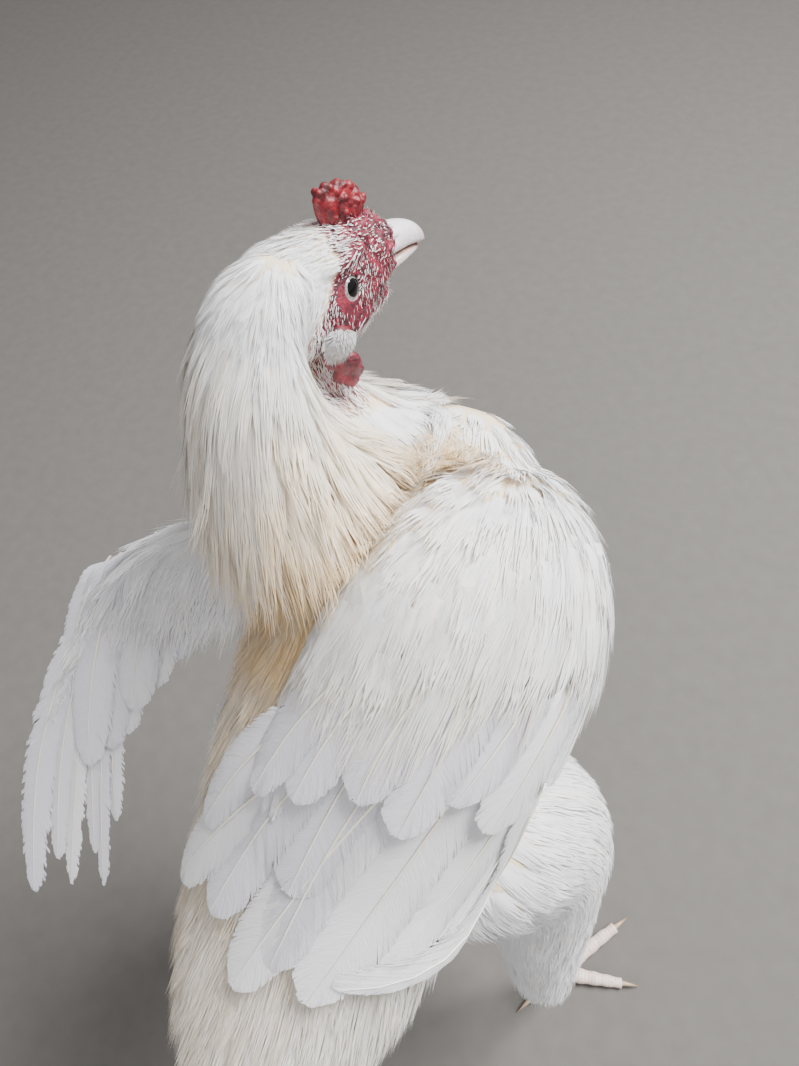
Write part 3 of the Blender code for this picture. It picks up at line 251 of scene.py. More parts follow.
# The lamps: a large soft window above and ahead of the bird on its right, and a weak one from behind
LAMPS = (("window", (-0.8, -1.1, 2.1), 1.0, 150.0), ("fill", (-0.6, 1.4, 1.6), 1.4, 14.0))
LAMP_AIM = Vector((0.0, -0.05, 0.45))
ROOM_COLOUR = "#f3f2f4"
ROOM_STRENGTH = 0.55
FLOOR_HALF = 6.0


def spline(rows, count):
    """Rows evenly spaced in parameter on a Catmull-Rom curve through the given ones."""
    given = [np.array(row, float) for row in rows]
    given = [2 * given[0] - given[1]] + given + [2 * given[-1] - given[-2]]
    found = []
    for t in np.linspace(0, len(given) - 3 - 1e-9, count):
        i = int(t)
        u = t - i
        a, b, c, d = given[i : i + 4]
        found.append(
            0.5 * (2 * b + (c - a) * u + (2 * a - 5 * b + 4 * c - d) * u**2 + (3 * b - a - 3 * c + d) * u**3)
        )
    return np.array(found)


def unit(vectors):
    return vectors / np.maximum(np.linalg.norm(vectors, axis=-1, keepdims=True), 1e-9)


TRUNK_FINE = spline(TRUNK, 101)
PAD_FINE = spline(WING_PAD, 49)[::-1]
NECK_FINE = spline(NECK, 61)
NECK_FINE[:, :3] += np.array(SHIFT)
along_axis, out_axis, left_axis = (np.array(v) for v in (ALONG, OUT, LEFT))


def body_places(along, out, left):
    """Places in the body's own directions, measured from the body's centre, for arrays of values."""
    along, out, left = np.broadcast_arrays(along, out, left)
    return (np.array(BODY_CENTRE) + along[..., None] * along_axis + out[..., None] * out_axis
            + left[..., None] * left_axis)


def trunk_places(along, angle, offset=0.0):
    """Places on the trunk; the angle is 0 on the back and grows towards the bird's left."""
    along, angle, offset = np.broadcast_arrays(along, angle, offset)
    out, half, back, breast = (np.interp(along, TRUNK_FINE[:, 0], TRUNK_FINE[:, k]) for k in (1, 2, 3, 4))
    reach = np.where(np.cos(angle) > 0, back, breast)
    normal = unit(np.stack([np.sin(angle) * reach, np.cos(angle) * half], -1))
    return body_places(along, out + reach * np.cos(angle) + normal[..., 1] * offset,
                       half * np.sin(angle) + normal[..., 0] * offset)


def pad_height(along, angle):
    """Height of the folded wing's core over the trunk."""
    first, last, thickness = (np.interp(along, PAD_FINE[:, 0], PAD_FINE[:, k]) for k in (1, 2, 3))
    t = np.clip((np.degrees(angle) - first) / (last - first), 0.0, 1.0)
    return thickness * (0.16 + 0.84 * np.sin(pi * t) ** 0.7)


def neck_place(place, turn, grow=0.0):
    """A place on the neck, counted in its fine rows, with the way out there; the turn starts on its left."""
    k = min(int(place), len(NECK_FINE) - 2)
    row = NECK_FINE[k] + (NECK_FINE[k + 1] - NECK_FINE[k]) * (place - k)
    ahead, behind = NECK_FINE[min(k + 2, len(NECK_FINE) - 1), :3], NECK_FINE[max(k - 1, 0), :3]
    tangent = Vector(ahead - behind).normalized()
    side = Vector((1.0, 0.0, 0.0))
    side = (side - tangent * side.dot(tangent)).normalized()
    back = tangent.cross(side)
    radius = row[3] + grow
    reach = radius if sin(turn) > 0 else row[4] + grow
    return Vector(row[:3]) + side * (radius * cos(turn)) + back * (reach * sin(turn))


# Meshes

def object_of(name, mesh, material):
    mesh.materials.append(material)
    mesh.shade_smooth()
    obj = bpy.data.objects.new(name, mesh)
    bpy.context.scene.collection.objects.link(obj)
    return obj


def from_bmesh(name, bm, material):
    bmesh.ops.recalc_face_normals(bm, faces=bm.faces)
    mesh = bpy.data.meshes.new(name)
    bm.to_mesh(mesh)
    bm.free()
    return object_of(name, mesh, material)


def add_loft(bm, rings):
    """Adds a closed body through rings with the same number of points."""
    rows = [[bm.verts.new(p) for p in ring] for ring in rings]
    count = len(rows[0])
    for low, high in zip(rows, rows[1:]):
        for i in range(count):
            j = (i + 1) % count
            bm.faces.new((low[i], low[j], high[j], high[i]))
    for row in (rows[0], rows[-1]):
        middle = bm.verts.new(sum((v.co for v in row), Vector()) / count)
        for i in range(count):
            bm.faces.new((row[i], row[(i + 1) % count], middle))


def add_ball(bm, centre, radii, turn, segments=20, rings=14):
    """Adds an ellipsoid, turned by a matrix."""
    made = bmesh.ops.create_uvsphere(bm, u_segments=segments, v_segments=rings, radius=1.0)
    place = Matrix.Translation(centre) @ turn.to_4x4() @ Matrix.Diagonal((*radii, 1.0))
    bmesh.ops.transform(bm, matrix=place, verts=made["verts"])


def tube_rings(rows, points, reference=Vector((1.0, 0.0, 0.0))):
    """Round rings along rows of (x, y, z, radius), square to the line through them."""
    centres = [Vector(row[:3]) for row in rows]
    rings = []
    for k, row in enumerate(rows):
        tangent = (centres[min(k + 1, len(rows) - 1)] - centres[max(k - 1, 0)]).normalized()
        side = (reference - tangent * reference.dot(tangent)).normalized()
        up = tangent.cross(side)
        rings.append([
            centres[k] + (side * cos(2 * pi * i / points) + up * sin(2 * pi * i / points)) * row[3]
            for i in range(points)
        ])
    return rings


def melt(obj, voxel, smooth):
    """Fuses all the closed bodies in an object into one skin of even faces, and smooths it."""
    remesh = obj.modifiers.new("melt", "REMESH")
    remesh.mode = "VOXEL"
    remesh.voxel_size = voxel
    relax = obj.modifiers.new("relax", "SMOOTH")
    relax.factor = 0.5
    relax.iterations = smooth
    graph = bpy.context.evaluated_depsgraph_get()
    mesh = bpy.data.meshes.new_from_object(obj.evaluated_get(graph))
    obj.modifiers.clear()
    obj.data = mesh
    mesh.shade_smooth()


def set_values(obj, key, values):
    """Keeps a value for each point of a piece, which its material reads."""
    attribute = obj.data.attributes.new(key, "FLOAT", "POINT")
    attribute.data.foreach_set("value", np.ascontiguousarray(values, np.float32))


# Materials

def linear(hex_colour):
    """An sRGB hex colour as the linear values that the shader takes."""
    found = []
    for i in (1, 3, 5):
        value = int(hex_colour[i : i + 2], 16) / 255
        found.append(value / 12.92 if value <= 0.04045 else ((value + 0.055) / 1.055) ** 2.4)
    return (*found, 1.0)


def add(tree, kind, inputs=(), **settings):
    """Adds a node with its settings, its values and its links; a value given as hex is a colour."""
    made = tree.nodes.new(kind)
    for key, value in settings.items():
        setattr(made, key, value)
    for key, value in dict(inputs).items():
        if isinstance(value, bpy.types.NodeSocket):
            tree.links.new(value, made.inputs[key])
        else:
            made.inputs[key].default_value = linear(value) if isinstance(value, str) else value
    return made


def material(name, **shader_values):
    """A new material: its node tree and its shader, with the values that are the same all over."""
    made = bpy.data.materials.new(name)
    made.use_nodes = True
    shader = made.node_tree.nodes["Principled BSDF"]
    for key, value in shader_values.items():
        shader.inputs[key.replace("_", " ")].default_value = value
    return made, made.node_tree, shader


def surface(tree, shader, colour, heights=None, bump=0.0, depth_mm=0.2):
    """Gives a shader its colour, and a relief where heights are given."""
    tree.links.new(colour, shader.inputs["Base Color"])
    if heights:
        depth = depth_mm / 1000.0
        relief = add(tree, "ShaderNodeBump", {"Height": heights, "Strength": bump, "Distance": depth})
        tree.links.new(relief.outputs["Normal"], shader.inputs["Normal"])


def feather_material(name, white, shade, cream, strand_mm, bump, rough):
    """White keratin barbs, creamier where aged: lit along each strand, with painted shade in the streaks
    between.
    """
    made, tree, shader = material(name, Roughness=rough, Sheen_Weight=0.2, Sheen_Roughness=0.5,
                                  Subsurface_Weight=0.30, Subsurface_Scale=0.006,
                                  Subsurface_Radius=(1.0, 0.95, 0.88))
    warmth = add(tree, "ShaderNodeAttribute", attribute_name="warmth").outputs["Fac"]
    tint = add(tree, "ShaderNodeAttribute", attribute_name="tint").outputs["Fac"]
    vane = add(tree, "ShaderNodeUVMap", uv_map="Vane").outputs["UV"]
    # The Vane map runs in units of 10 mm: across the strands in x, along them in y
    lines = add(tree, "ShaderNodeMapping", {"Vector": vane, "Scale": (10.0 / strand_mm, 1.0, 1.0)})
    strands = add(tree, "ShaderNodeTexNoise", {
        "Vector": lines.outputs["Vector"], "Scale": 1.0, "Detail": 3.0, "Roughness": 0.6, "Distortion": 0.15,
    }).outputs["Fac"]
    base = add(tree, "ShaderNodeMix", {0: tint, 6: shade, 7: white}, data_type="RGBA").outputs[2]
    aged = add(tree, "ShaderNodeMix", {0: warmth, 6: base, 7: cream}, data_type="RGBA").outputs[2]
    # painted shade: the streaks between the strands are mixed towards the shade colour
    gaps = add(tree, "ShaderNodeMapRange", {
        "Value": strands, "From Min": 0.38, "From Max": 0.62, "To Max": 0.22,
    }).outputs[0]
    strand_shaded = add(tree, "ShaderNodeMix", {0: gaps, 6: aged, 7: shade}, data_type="RGBA").outputs[2]
    surface(tree, shader, strand_shaded, strands, bump)
    return made


def skin_material(name, bright, deep, grain_mm, rough, coat, bump, covered=None):
    """Living skin over blood: bright on the swellings, deep in the creases and hollows as painted shade, with
    a damp fine grain.
    """
    made, tree, shader = material(name, Roughness=rough, Subsurface_Weight=0.25, Subsurface_Scale=0.0015,
                                  Subsurface_Radius=(1.0, 0.25, 0.15), Coat_Weight=coat, Coat_Roughness=0.25)
    place = add(tree, "ShaderNodeTexCoord").outputs["Object"]
    grains = add(tree, "ShaderNodeTexVoronoi", {"Vector": place, "Scale": 1000.0 / grain_mm},
                 feature="SMOOTH_F1").outputs["Distance"]
    # Flushed blotches about 4 mm across, and creases a little over 1 mm apart
    blotch = add(tree, "ShaderNodeTexNoise", {"Vector": place, "Scale": 1000.0 / 3.85, "Detail": 4.0})
    crease = add(tree, "ShaderNodeTexNoise", {
        "Vector": place, "Scale": 1000.0 / 1.11, "Detail": 5.0, "Roughness": 0.7, "Distortion": 1.2,
    }).outputs["Fac"]
    flush = add(tree, "ShaderNodeMapRange", {
        "Value": blotch.outputs["Fac"], "From Min": 0.38, "From Max": 0.62,
    }).outputs[0]
    # painted shade: the deep colour is mixed into the hollows between the grains, where the relief sinks
    between = add(tree, "ShaderNodeMapRange", {
        "Value": grains, "From Min": 0.35, "From Max": 0.75, "To Max": 0.55,
    }).outputs[0]
    colour = add(tree, "ShaderNodeMix", {0: flush, 6: deep, 7: bright}, data_type="RGBA").outputs[2]
    colour = add(tree, "ShaderNodeMix", {0: between, 6: colour, 7: deep}, data_type="RGBA").outputs[2]
    if covered:
        # pale where feathers hide it, flushed where it is bare
        bare = add(tree, "ShaderNodeAttribute", attribute_name="bare").outputs["Fac"]
        colour = add(tree, "ShaderNodeMix", {0: bare, 6: covered, 7: colour}, data_type="RGBA").outputs[2]
    heights = add(tree, "ShaderNodeMath", {0: crease, 1: grains}, operation="SUBTRACT").outputs[0]
    surface(tree, shader, colour, heights, bump, 0.4)
    return made


def horn_material(name, pale, tan, rough):
    """Polished keratin horn: ivory in the body, tan towards edges and tips, with fine growth lines."""
    made, tree, shader = material(name, Roughness=rough, Coat_Weight=0.35, Coat_Roughness=0.2, IOR=1.54,
                                  Subsurface_Weight=0.15, Subsurface_Scale=0.0015)
    place = add(tree, "ShaderNodeTexCoord").outputs["Object"]
    tan_share = add(tree, "ShaderNodeAttribute", attribute_name="warmth").outputs["Fac"]
    growth = add(tree, "ShaderNodeMapping", {"Vector": place, "Scale": (1.0, 4.0, 1.0)})
    # Growth lines a little over 2 mm apart one way and four times closer the other
    lines = add(tree, "ShaderNodeTexNoise", {
        "Vector": growth.outputs["Vector"], "Scale": 1000.0 / 2.38, "Detail": 4.0, "Roughness": 0.65,
    }).outputs["Fac"]
    dark = add(tree, "ShaderNodeMapRange", {
        "Value": lines, "From Min": 0.42, "From Max": 0.68, "To Max": 0.30,
    }).outputs[0]
    colour = add(tree, "ShaderNodeMix", {0: tan_share, 6: pale, 7: tan}, data_type="RGBA").outputs[2]
    colour = add(tree, "ShaderNodeMix", {0: dark, 6: colour, 7: tan}, data_type="RGBA").outputs[2]
    surface(tree, shader, colour, lines, 0.25)
    return made


def scale_material():
    """Scaled leg skin: dry pinkish plates with dark fine seams between small round scales."""
    made, tree, shader = material("scaled_leg_skin", Roughness=0.5, Subsurface_Weight=0.12,
                                  Subsurface_Scale=0.001)
    place = add(tree, "ShaderNodeTexCoord").outputs["Object"]
    plate = add(tree, "ShaderNodeAttribute", attribute_name="warmth").outputs["Fac"]
    # Round scales 2 mm across, and dry patches of 5 mm
    cells = add(tree, "ShaderNodeTexVoronoi", {"Vector": place, "Scale": 1000.0 / 2.08, "Randomness": 0.75},
                feature="DISTANCE_TO_EDGE").outputs["Distance"]
    dirt = add(tree, "ShaderNodeTexNoise", {"Vector": place, "Scale": 1000.0 / 5.26, "Detail": 5.0})
    dry = add(tree, "ShaderNodeMapRange", {
        "Value": dirt.outputs["Fac"], "From Min": 0.35, "From Max": 0.65,
    }).outputs[0]
    seam = add(tree, "ShaderNodeMapRange", {"Value": cells, "From Max": 0.10}).outputs[0]
    smooth_seam = add(tree, "ShaderNodeMath", {0: seam, 1: plate}, operation="MAXIMUM").outputs[0]
    colour = add(tree, "ShaderNodeMix", {0: dry, 6: "#e9cfc4", 7: "#f1e4da"}, data_type="RGBA").outputs[2]
    colour = add(tree, "ShaderNodeMix", {0: smooth_seam, 6: "#c39a8c", 7: colour}, data_type="RGBA")
    surface(tree, shader, colour.outputs[2], smooth_seam, 0.6, 0.4)
    return made


def eye_material():
    """A wet eyeball: a wide black pupil in a pearl grey iris, darker at its rim, under a clear cornea."""
    made, tree, shader = material("wet_pearl_eye", Roughness=0.12, Specular_IOR_Level=0.3, Coat_Weight=0.4,
                                  Coat_Roughness=0.02)
    # The ring is the angle from the middle of the eye in degrees
    ring = add(tree, "ShaderNodeAttribute", attribute_name="ring").outputs["Fac"]
    place = add(tree, "ShaderNodeTexCoord").outputs["Object"]
    # Flecks of the iris, two thirds of a millimetre across
    flecks = add(tree, "ShaderNodeTexNoise", {"Vector": place, "Scale": 1000.0 / 0.667, "Detail": 4.0})
    shares = []
    for value, (low, high) in ((flecks.outputs["Fac"], (0.35, 0.65)), (ring, IRIS_END), (ring, PUPIL_END)):
        shares.append(add(tree, "ShaderNodeMapRange", {
            "Value": value, "From Min": low, "From Max": high,
        }).outputs[0])
    iris = add(tree, "ShaderNodeMix", {0: shares[0], 6: "#6f726f", 7: "#aaaba6"}, data_type="RGBA").outputs[2]
    rim = add(tree, "ShaderNodeMix", {0: shares[1], 6: iris, 7: "#2f2524"}, data_type="RGBA").outputs[2]
    colour = add(tree, "ShaderNodeMix", {0: shares[2], 6: "#040405", 7: rim}, data_type="RGBA").outputs[2]
    surface(tree, shader, colour)
    return made


def floor_material():
    """A plain pale studio floor with a faint grain, 17 mm across."""
    made, tree, shader = material("pale_studio_floor", Roughness=0.85)
    place = add(tree, "ShaderNodeTexCoord").outputs["Object"]
    grain = add(tree, "ShaderNodeTexNoise", {"Vector": place, "Scale": 1000.0 / 16.7, "Detail": 4.0})
    share = grain.outputs["Fac"]
    colour = add(tree, "ShaderNodeMix", {0: share, 6: "#605d59", 7: "#6c6965"}, data_type="RGBA")
    surface(tree, shader, colour.outputs[2])
    return made


# Feather keratin is white, soft to the eye and lets a little light through. Its barbs cling in bundles
# about half a millimetre wide, drawn coarser than life so that they show
SOFT = feather_material("soft_white_barbs", "#ffffff", "#dedde4", "#f6dc9c", 0.6, 0.35, 0.6)
HACKLE = feather_material("silky_hackle_barbs", "#fffcf6", "#ded6cc", "#eec87c", 0.45, 0.4, 0.5)
VANE = feather_material("zipped_vane_barbs", "#fdfdff", "#c4c3d4", "#f3e2b8", 0.7, 0.9, 0.5)
BRISTLE = feather_material("stiff_white_bristles", "#ffffff", "#e6dcdc", "#f1e6cc", 0.4, 0.2, 0.5)
EAR_HAIR = feather_material("grey_white_ear_hair", "#dddbdc", "#8f8b90", "#d8cdb4", 0.3, 0.3, 0.6)
# A feather's shaft is the same keratin, solid and faintly glossy
QUILL = horn_material("ivory_quill", "#fffcf4", "#f0e3c6", 0.35)
# Bare skin is full of blood: matte on the face, a little moist on comb, lobes and lids
SKIN = skin_material("living_bird_skin", "#8f243a", "#470a1d", 0.9, 0.55, 0.04, 0.9, "#efdcc0")
COMB_SKIN = skin_material("glossy_red_comb_skin", "#860c1b", "#48050e", 0.8, 0.5, 0.1, 0.5)
LOBE_SKIN = skin_material("dark_wrinkled_lobe_skin", "#7e1428", "#430614", 1.0, 0.5, 0.1, 0.9)
LID_SKIN = skin_material("pale_lid_skin", "#b59a9c", "#7f5c63", 0.5, 0.5, 0.1, 0.3)
# Bill, claws and spurs are horn, worn smooth so that it shines softly
BILL_HORN = horn_material("polished_ivory_bill", "#ebe5ea", "#9a6a50", 0.32)
CLAW_HORN = horn_material("tan_claw_horn", "#d9c3a5", "#8d6b4c", 0.35)
SCALES = scale_material()
EYE = eye_material()


# The skins under the coat

def trunk_rings(grow, rows=40, points=48):
    rings = []
    for along in spline(TRUNK, rows)[:, 0]:
        angles = np.linspace(0.0, 2 * pi, points, endpoint=False)
        rings.append([Vector(p) for p in trunk_places(along, angles, grow)])
    return rings


def neck_rings(grow, points=40):
    return [[neck_place(k, 2 * pi * i / points, grow) for i in range(points)]
            for k in np.linspace(0.0, len(NECK_FINE) - 1.001, 36)]


def thigh_rows(side, count, slim=0.0):
    thigh, knee, hock = (Vector(place) + SHIFT for place in LEGS[side][:3])
    calf = knee.lerp(hock, 0.52)
    calf.y -= 0.004
    end = knee.lerp(hock, 0.93)
    return spline((
        (*thigh, 0.034 - slim), (*thigh.lerp(knee, 0.45), 0.057 - slim), (*knee, 0.050 - slim),
        (*calf, 0.034 - slim), (*end, 0.0165 - 0.5 * slim),
    ), count)


def pad_rings(inset):
    rings = []
    for along, first, last, thickness in spline(WING_PAD, 26):
        angles = np.radians(first + (last - first) * np.linspace(0.0, 1.0, 21))
        rise = thickness * (0.16 + 0.84 * np.sin(pi * np.linspace(0.0, 1.0, 21)) ** 0.7) - inset
        outer = trunk_places(along, angles, rise)
        inner = trunk_places(along, angles, -0.006)
        rings.append([Vector(p) for p in np.concatenate([outer, inner[::-1]])])
    return rings


def blade_ring(front, back, front_thick, rear_thick):
    """Eight points round a flat section, from its thick edge to its thin one."""
    middle = front.lerp(back, 0.35)
    return [
        front, front.lerp(middle, 0.35) + OUT * (front_thick * 0.5), middle + OUT * (front_thick * 0.45),
        back.lerp(middle, 0.3) + OUT * (rear_thick * 0.6), back,
        back.lerp(middle, 0.3) - OUT * (rear_thick * 0.4), middle - OUT * (front_thick * 0.45),
        front.lerp(middle, 0.35) - OUT * (front_thick * 0.5),
    ]


def body_place(along, out, left):
    return BODY_CENTRE + ALONG * along + OUT * out + LEFT * left


def arm_rings():
    return [
        blade_ring(body_place(along, out, left), body_place(rear, out - 0.004, left - 0.004), front, back)
        for along, out, left, rear, front, back in spline(ARM_CORE, 12)
    ]


def hand_rings():
    return [
        blade_ring(body_place(along, out, left), body_place(along, out - 0.002, inner), front, back)
        for along, out, left, inner, front, back in spline(HAND_CORE, 12)
    ]


def tail_axes():
    back = Matrix.Rotation(TAIL_LIFT, 3, LEFT) @ -ALONG
    if back.z < (-ALONG).z:
        back = Matrix.Rotation(-TAIL_LIFT, 3, LEFT) @ -ALONG
    up = LEFT.cross(back).normalized()
    return back, up if up.dot(OUT) > 0 else -up


TAIL_BACK, TAIL_UP = tail_axes()


def tail_rings():
    start = body_place(TAIL_ROOT[0] + 0.012, TAIL_ROOT[1], 0.0)
    rings = []
    for distance, half_width, half_height, drop in spline(TAIL_CORE, 10):
        centre = start + TAIL_BACK * (distance * 1.2) - Vector((0.0, 0.0, drop))
        rings.append([
            centre + LEFT * (half_width * 0.85 * cos(t)) + TAIL_UP * (half_height * 0.8 * sin(t))
            for t in np.linspace(0.0, 2 * pi, 16, endpoint=False)
        ])
    return rings


# What each part of the skin is, in the order of its bodies
ZONES = ("trunk", "neck", "thigh_right", "thigh_left", "pad", "arm", "hand", "tail", "head")
COAT = 0.0035


def body_skin():
    """The skin of trunk, neck, thighs, wings and tail, with the part of the body that each face is on."""
    bodies = (
        trunk_rings(-COAT), neck_rings(-0.0015),
        tube_rings(thigh_rows("right", 30, COAT), 32), tube_rings(thigh_rows("left", 30, COAT), 32),
        pad_rings(0.0015), arm_rings(), hand_rings(), tail_rings(),
    )
    bm = bmesh.new()
    owner = []
    for k, rings in enumerate(bodies):
        before = len(bm.faces)
        add_loft(bm, rings)
        owner += [k] * (len(bm.faces) - before)
    bmesh.ops.recalc_face_normals(bm, faces=bm.faces)
    tree = BVHTree.FromBMesh(bm)
    skin = from_bmesh("skin_body", bm, SKIN)
    melt(skin, *BODY_MELT)
    hollow_ears(skin)
    return skin, tree, owner


def own_places(obj):
    """The places of a piece's points in the head's own directions."""
    inverse = HEAD.inverted()
    return np.array([inverse @ vertex.co for vertex in obj.data.vertices])


def head_own(places):
    """Places in the head's own directions."""
    inverse = np.array(HEAD.inverted())
    return places @ inverse[:3, :3].T + inverse[:3, 3]


def ear_share(own, reach=1.45):
    """How near places in the head's directions are to the bare hollow round an ear, from 0 to 1."""
    far = np.hypot(*((own[:, k] - EAR_HOLLOW[i]) / EAR_HOLLOW_SIZE[i] for i, k in enumerate((0, 2))))
    return np.clip((reach - far) / (reach - 1.0), 0.0, 1.0) * (np.abs(own[:, 1]) > 0.006)


def hollow_ears(skin):
    """Presses the neck in round the ears, so that patch and lobes stand free of the hood."""
    own = own_places(skin)
    share = ear_share(own, PRESSED_REACH)
    for i in np.flatnonzero(share > 0):
        left = own[i, 1]
        kept = (1 if left > 0 else -1) * min(abs(left), 0.0150)
        place = Vector((own[i, 0], left + (kept - left) * share[i], own[i, 2]))
        skin.data.vertices[int(i)].co = HEAD @ place


def skull_place(forward, angle, grow=0.0):
    half, top, bottom, drop = (
        float(np.interp(forward, SKULL_FINE[:, 0], SKULL_FINE[:, k])) for k in range(1, 5)
    )
    reach = (top if cos(angle) > 0 else bottom) + grow
    return Vector((forward, (half + grow) * sin(angle), reach * cos(angle) - drop))


SKULL_FINE = spline(SKULL, 81)


def eye_middle(side):
    """The middle of an eye in the head's own directions; the side is -1 on its right and 1 on its left."""
    return Vector((EYE_PLACE.x, side * EYE_PLACE.y, EYE_PLACE.z))


def eye_look(side):
    """Turns an eye's own directions (ahead, outward, up) into the head's."""
    return Matrix.Rotation(-side * EYE_TURN, 3, "Z") @ Matrix.Rotation(side * EYE_LIFT, 3, "X")


def head_skin():
    """The skin of the head: skull, brows, cheeks, jaw, warts and lids, melted into one."""
    bm = bmesh.new()
    rings = [[HEAD @ skull_place(row[0], 2 * pi * i / 48) for i in range(48)] for row in spline(SKULL, 40)]
    add_loft(bm, rings)
    for side in (-1, 1):
        turn = HEAD_AXES @ Matrix.Rotation(radians(side * -8), 3, "Z")
        add_ball(bm, HEAD @ Vector((-0.004, side * 0.0140, 0.0128)), (0.0140, 0.0048, 0.0042), turn)
        add_ball(bm, HEAD @ Vector((-0.007, side * 0.0135, -0.0115)), (0.0130, 0.0060, 0.0080), HEAD_AXES)
        # the corner of the mouth and the bare fold running back from it
        for k in range(5):
            forward = 0.0225 - 0.004 * k
            add_ball(bm, HEAD @ Vector((forward, side * (0.0088 + 0.0011 * k), -0.0055 - 0.0010 * k)),
                     (0.0034, 0.0020, 0.0022 + 0.0002 * k), HEAD_AXES, 12, 8)
        # the full skin of the jaw and throat
        for k in range(4):
            add_ball(bm, HEAD @ Vector((0.0140 - 0.006 * k, side * 0.0035, -0.0150 - 0.0022 * k)),
                     (0.0072, 0.0070, 0.0072), HEAD_AXES)
        look = eye_look(side)
        outward = look @ Vector((0.0, side, 0.0))
        # two folds of lid, the inner one fine and the outer one soft
        for radius, thick, sink in ((0.0051, 0.00085, 0.0058), (0.0064, 0.0011, 0.0046)):
            for i in range(40):
                t = 2 * pi * i / 40
                round_eye = look @ Vector((radius * 0.96 * cos(t), 0.0, radius * 1.04 * sin(t)))
                lid = eye_middle(side) + outward * sink + round_eye
                add_ball(bm, HEAD @ lid, (thick,) * 3, HEAD_AXES, 8, 6)
    for forward, across, up, size in warts():
        add_ball(bm, HEAD @ Vector((forward, across, up)), (size, size * 0.9, size * 0.8), HEAD_AXES, 12, 8)
    skin = from_bmesh("skin_head", bm, SKIN)
    melt(skin, *HEAD_MELT)
    hollow_sockets(skin)
    return skin


def warts():
    """Small bulbs between the comb and the bill and along the brow: forward, left, up and size."""
    found = []
    draw = np.random.default_rng(3)
    for i in range(60):
        forward = 0.0090 + 0.0155 * draw.random()
        angle = radians(-78.0 + 156.0 * draw.random())
        place = skull_place(forward, angle, 0.0004)
        found.append((*place, 0.0017 + 0.0015 * draw.random()))
    return found


def hollow_sockets(skin):
    """Presses the skin in where an eye shows between its lids, so that the eyeball stands in its socket."""
    inverse = HEAD.inverted()
    for vertex in skin.data.vertices:
        place = inverse @ vertex.co
        side = 1 if place.y > 0 else -1
        from_eye = place - eye_middle(side)
        axis = eye_look(side) @ Vector((0.0, side, 0.0))
        depth = from_eye.dot(axis)
        beside = (from_eye - axis * depth).length
        if depth > 0.0 and beside < 0.0046:
            vertex.co -= HEAD_AXES @ (axis * 0.0060)


skin_body_object, body_tree, body_owner = body_skin()
skin_head_object = head_skin()


# The ground that feathers are rooted in

def unwrap(obj):
    """An unwrap of the skin's own shape, for the places of the feathers' roots."""
    bpy.context.view_layer.objects.active = obj
    obj.select_set(True)
    bpy.ops.object.mode_set(mode="EDIT")
    bpy.ops.mesh.select_all(action="SELECT")
    bpy.ops.uv.smart_project(angle_limit=radians(66.0), island_margin=0.002)
    bpy.ops.object.mode_set(mode="OBJECT")
    obj.select_set(False)
    obj.data.uv_layers[0].name = "OFBake"


def face_arrays(obj):
    """An object's points, the corners of its faces, and the unwrap place of each face."""
    mesh = obj.data
    mesh.calc_loop_triangles()
    points = np.empty(len(mesh.vertices) * 3, np.float32)
    mesh.vertices.foreach_get("co", points)
    triangles, loops = (np.empty(len(mesh.loop_triangles) * 3, np.int32) for _ in range(2))
    mesh.loop_triangles.foreach_get("vertices", triangles)
    mesh.loop_triangles.foreach_get("loops", loops)
    uv = np.empty(len(mesh.loops) * 2, np.float32)
    mesh.uv_layers["OFBake"].data.foreach_get("uv", uv)
    middles = uv.reshape(-1, 2)[loops.reshape(-1, 3)].mean(axis=1)
    return points.reshape(-1, 3).astype(float), triangles.reshape(-1, 3), middles


def smoothed(values, triangles, count, rounds):
    """Values of the vertices, averaged with their neighbours' for some rounds."""
    edges = np.concatenate([triangles[:, [0, 1]], triangles[:, [1, 2]], triangles[:, [2, 0]]])
    edges = np.concatenate([edges, edges[:, ::-1]])
    amount = np.bincount(edges[:, 0], minlength=count)[:, None] + 1.0
    for _ in range(rounds):
        total = values.copy()
        for axis in range(values.shape[1]):
            total[:, axis] += np.bincount(edges[:, 0], values[edges[:, 1], axis], count)
        values = total / amount
    return values


def on_part(zones, *names):
    """Which faces are on the named parts of the body."""
    return np.isin(zones, [ZONES.index(name) for name in names])


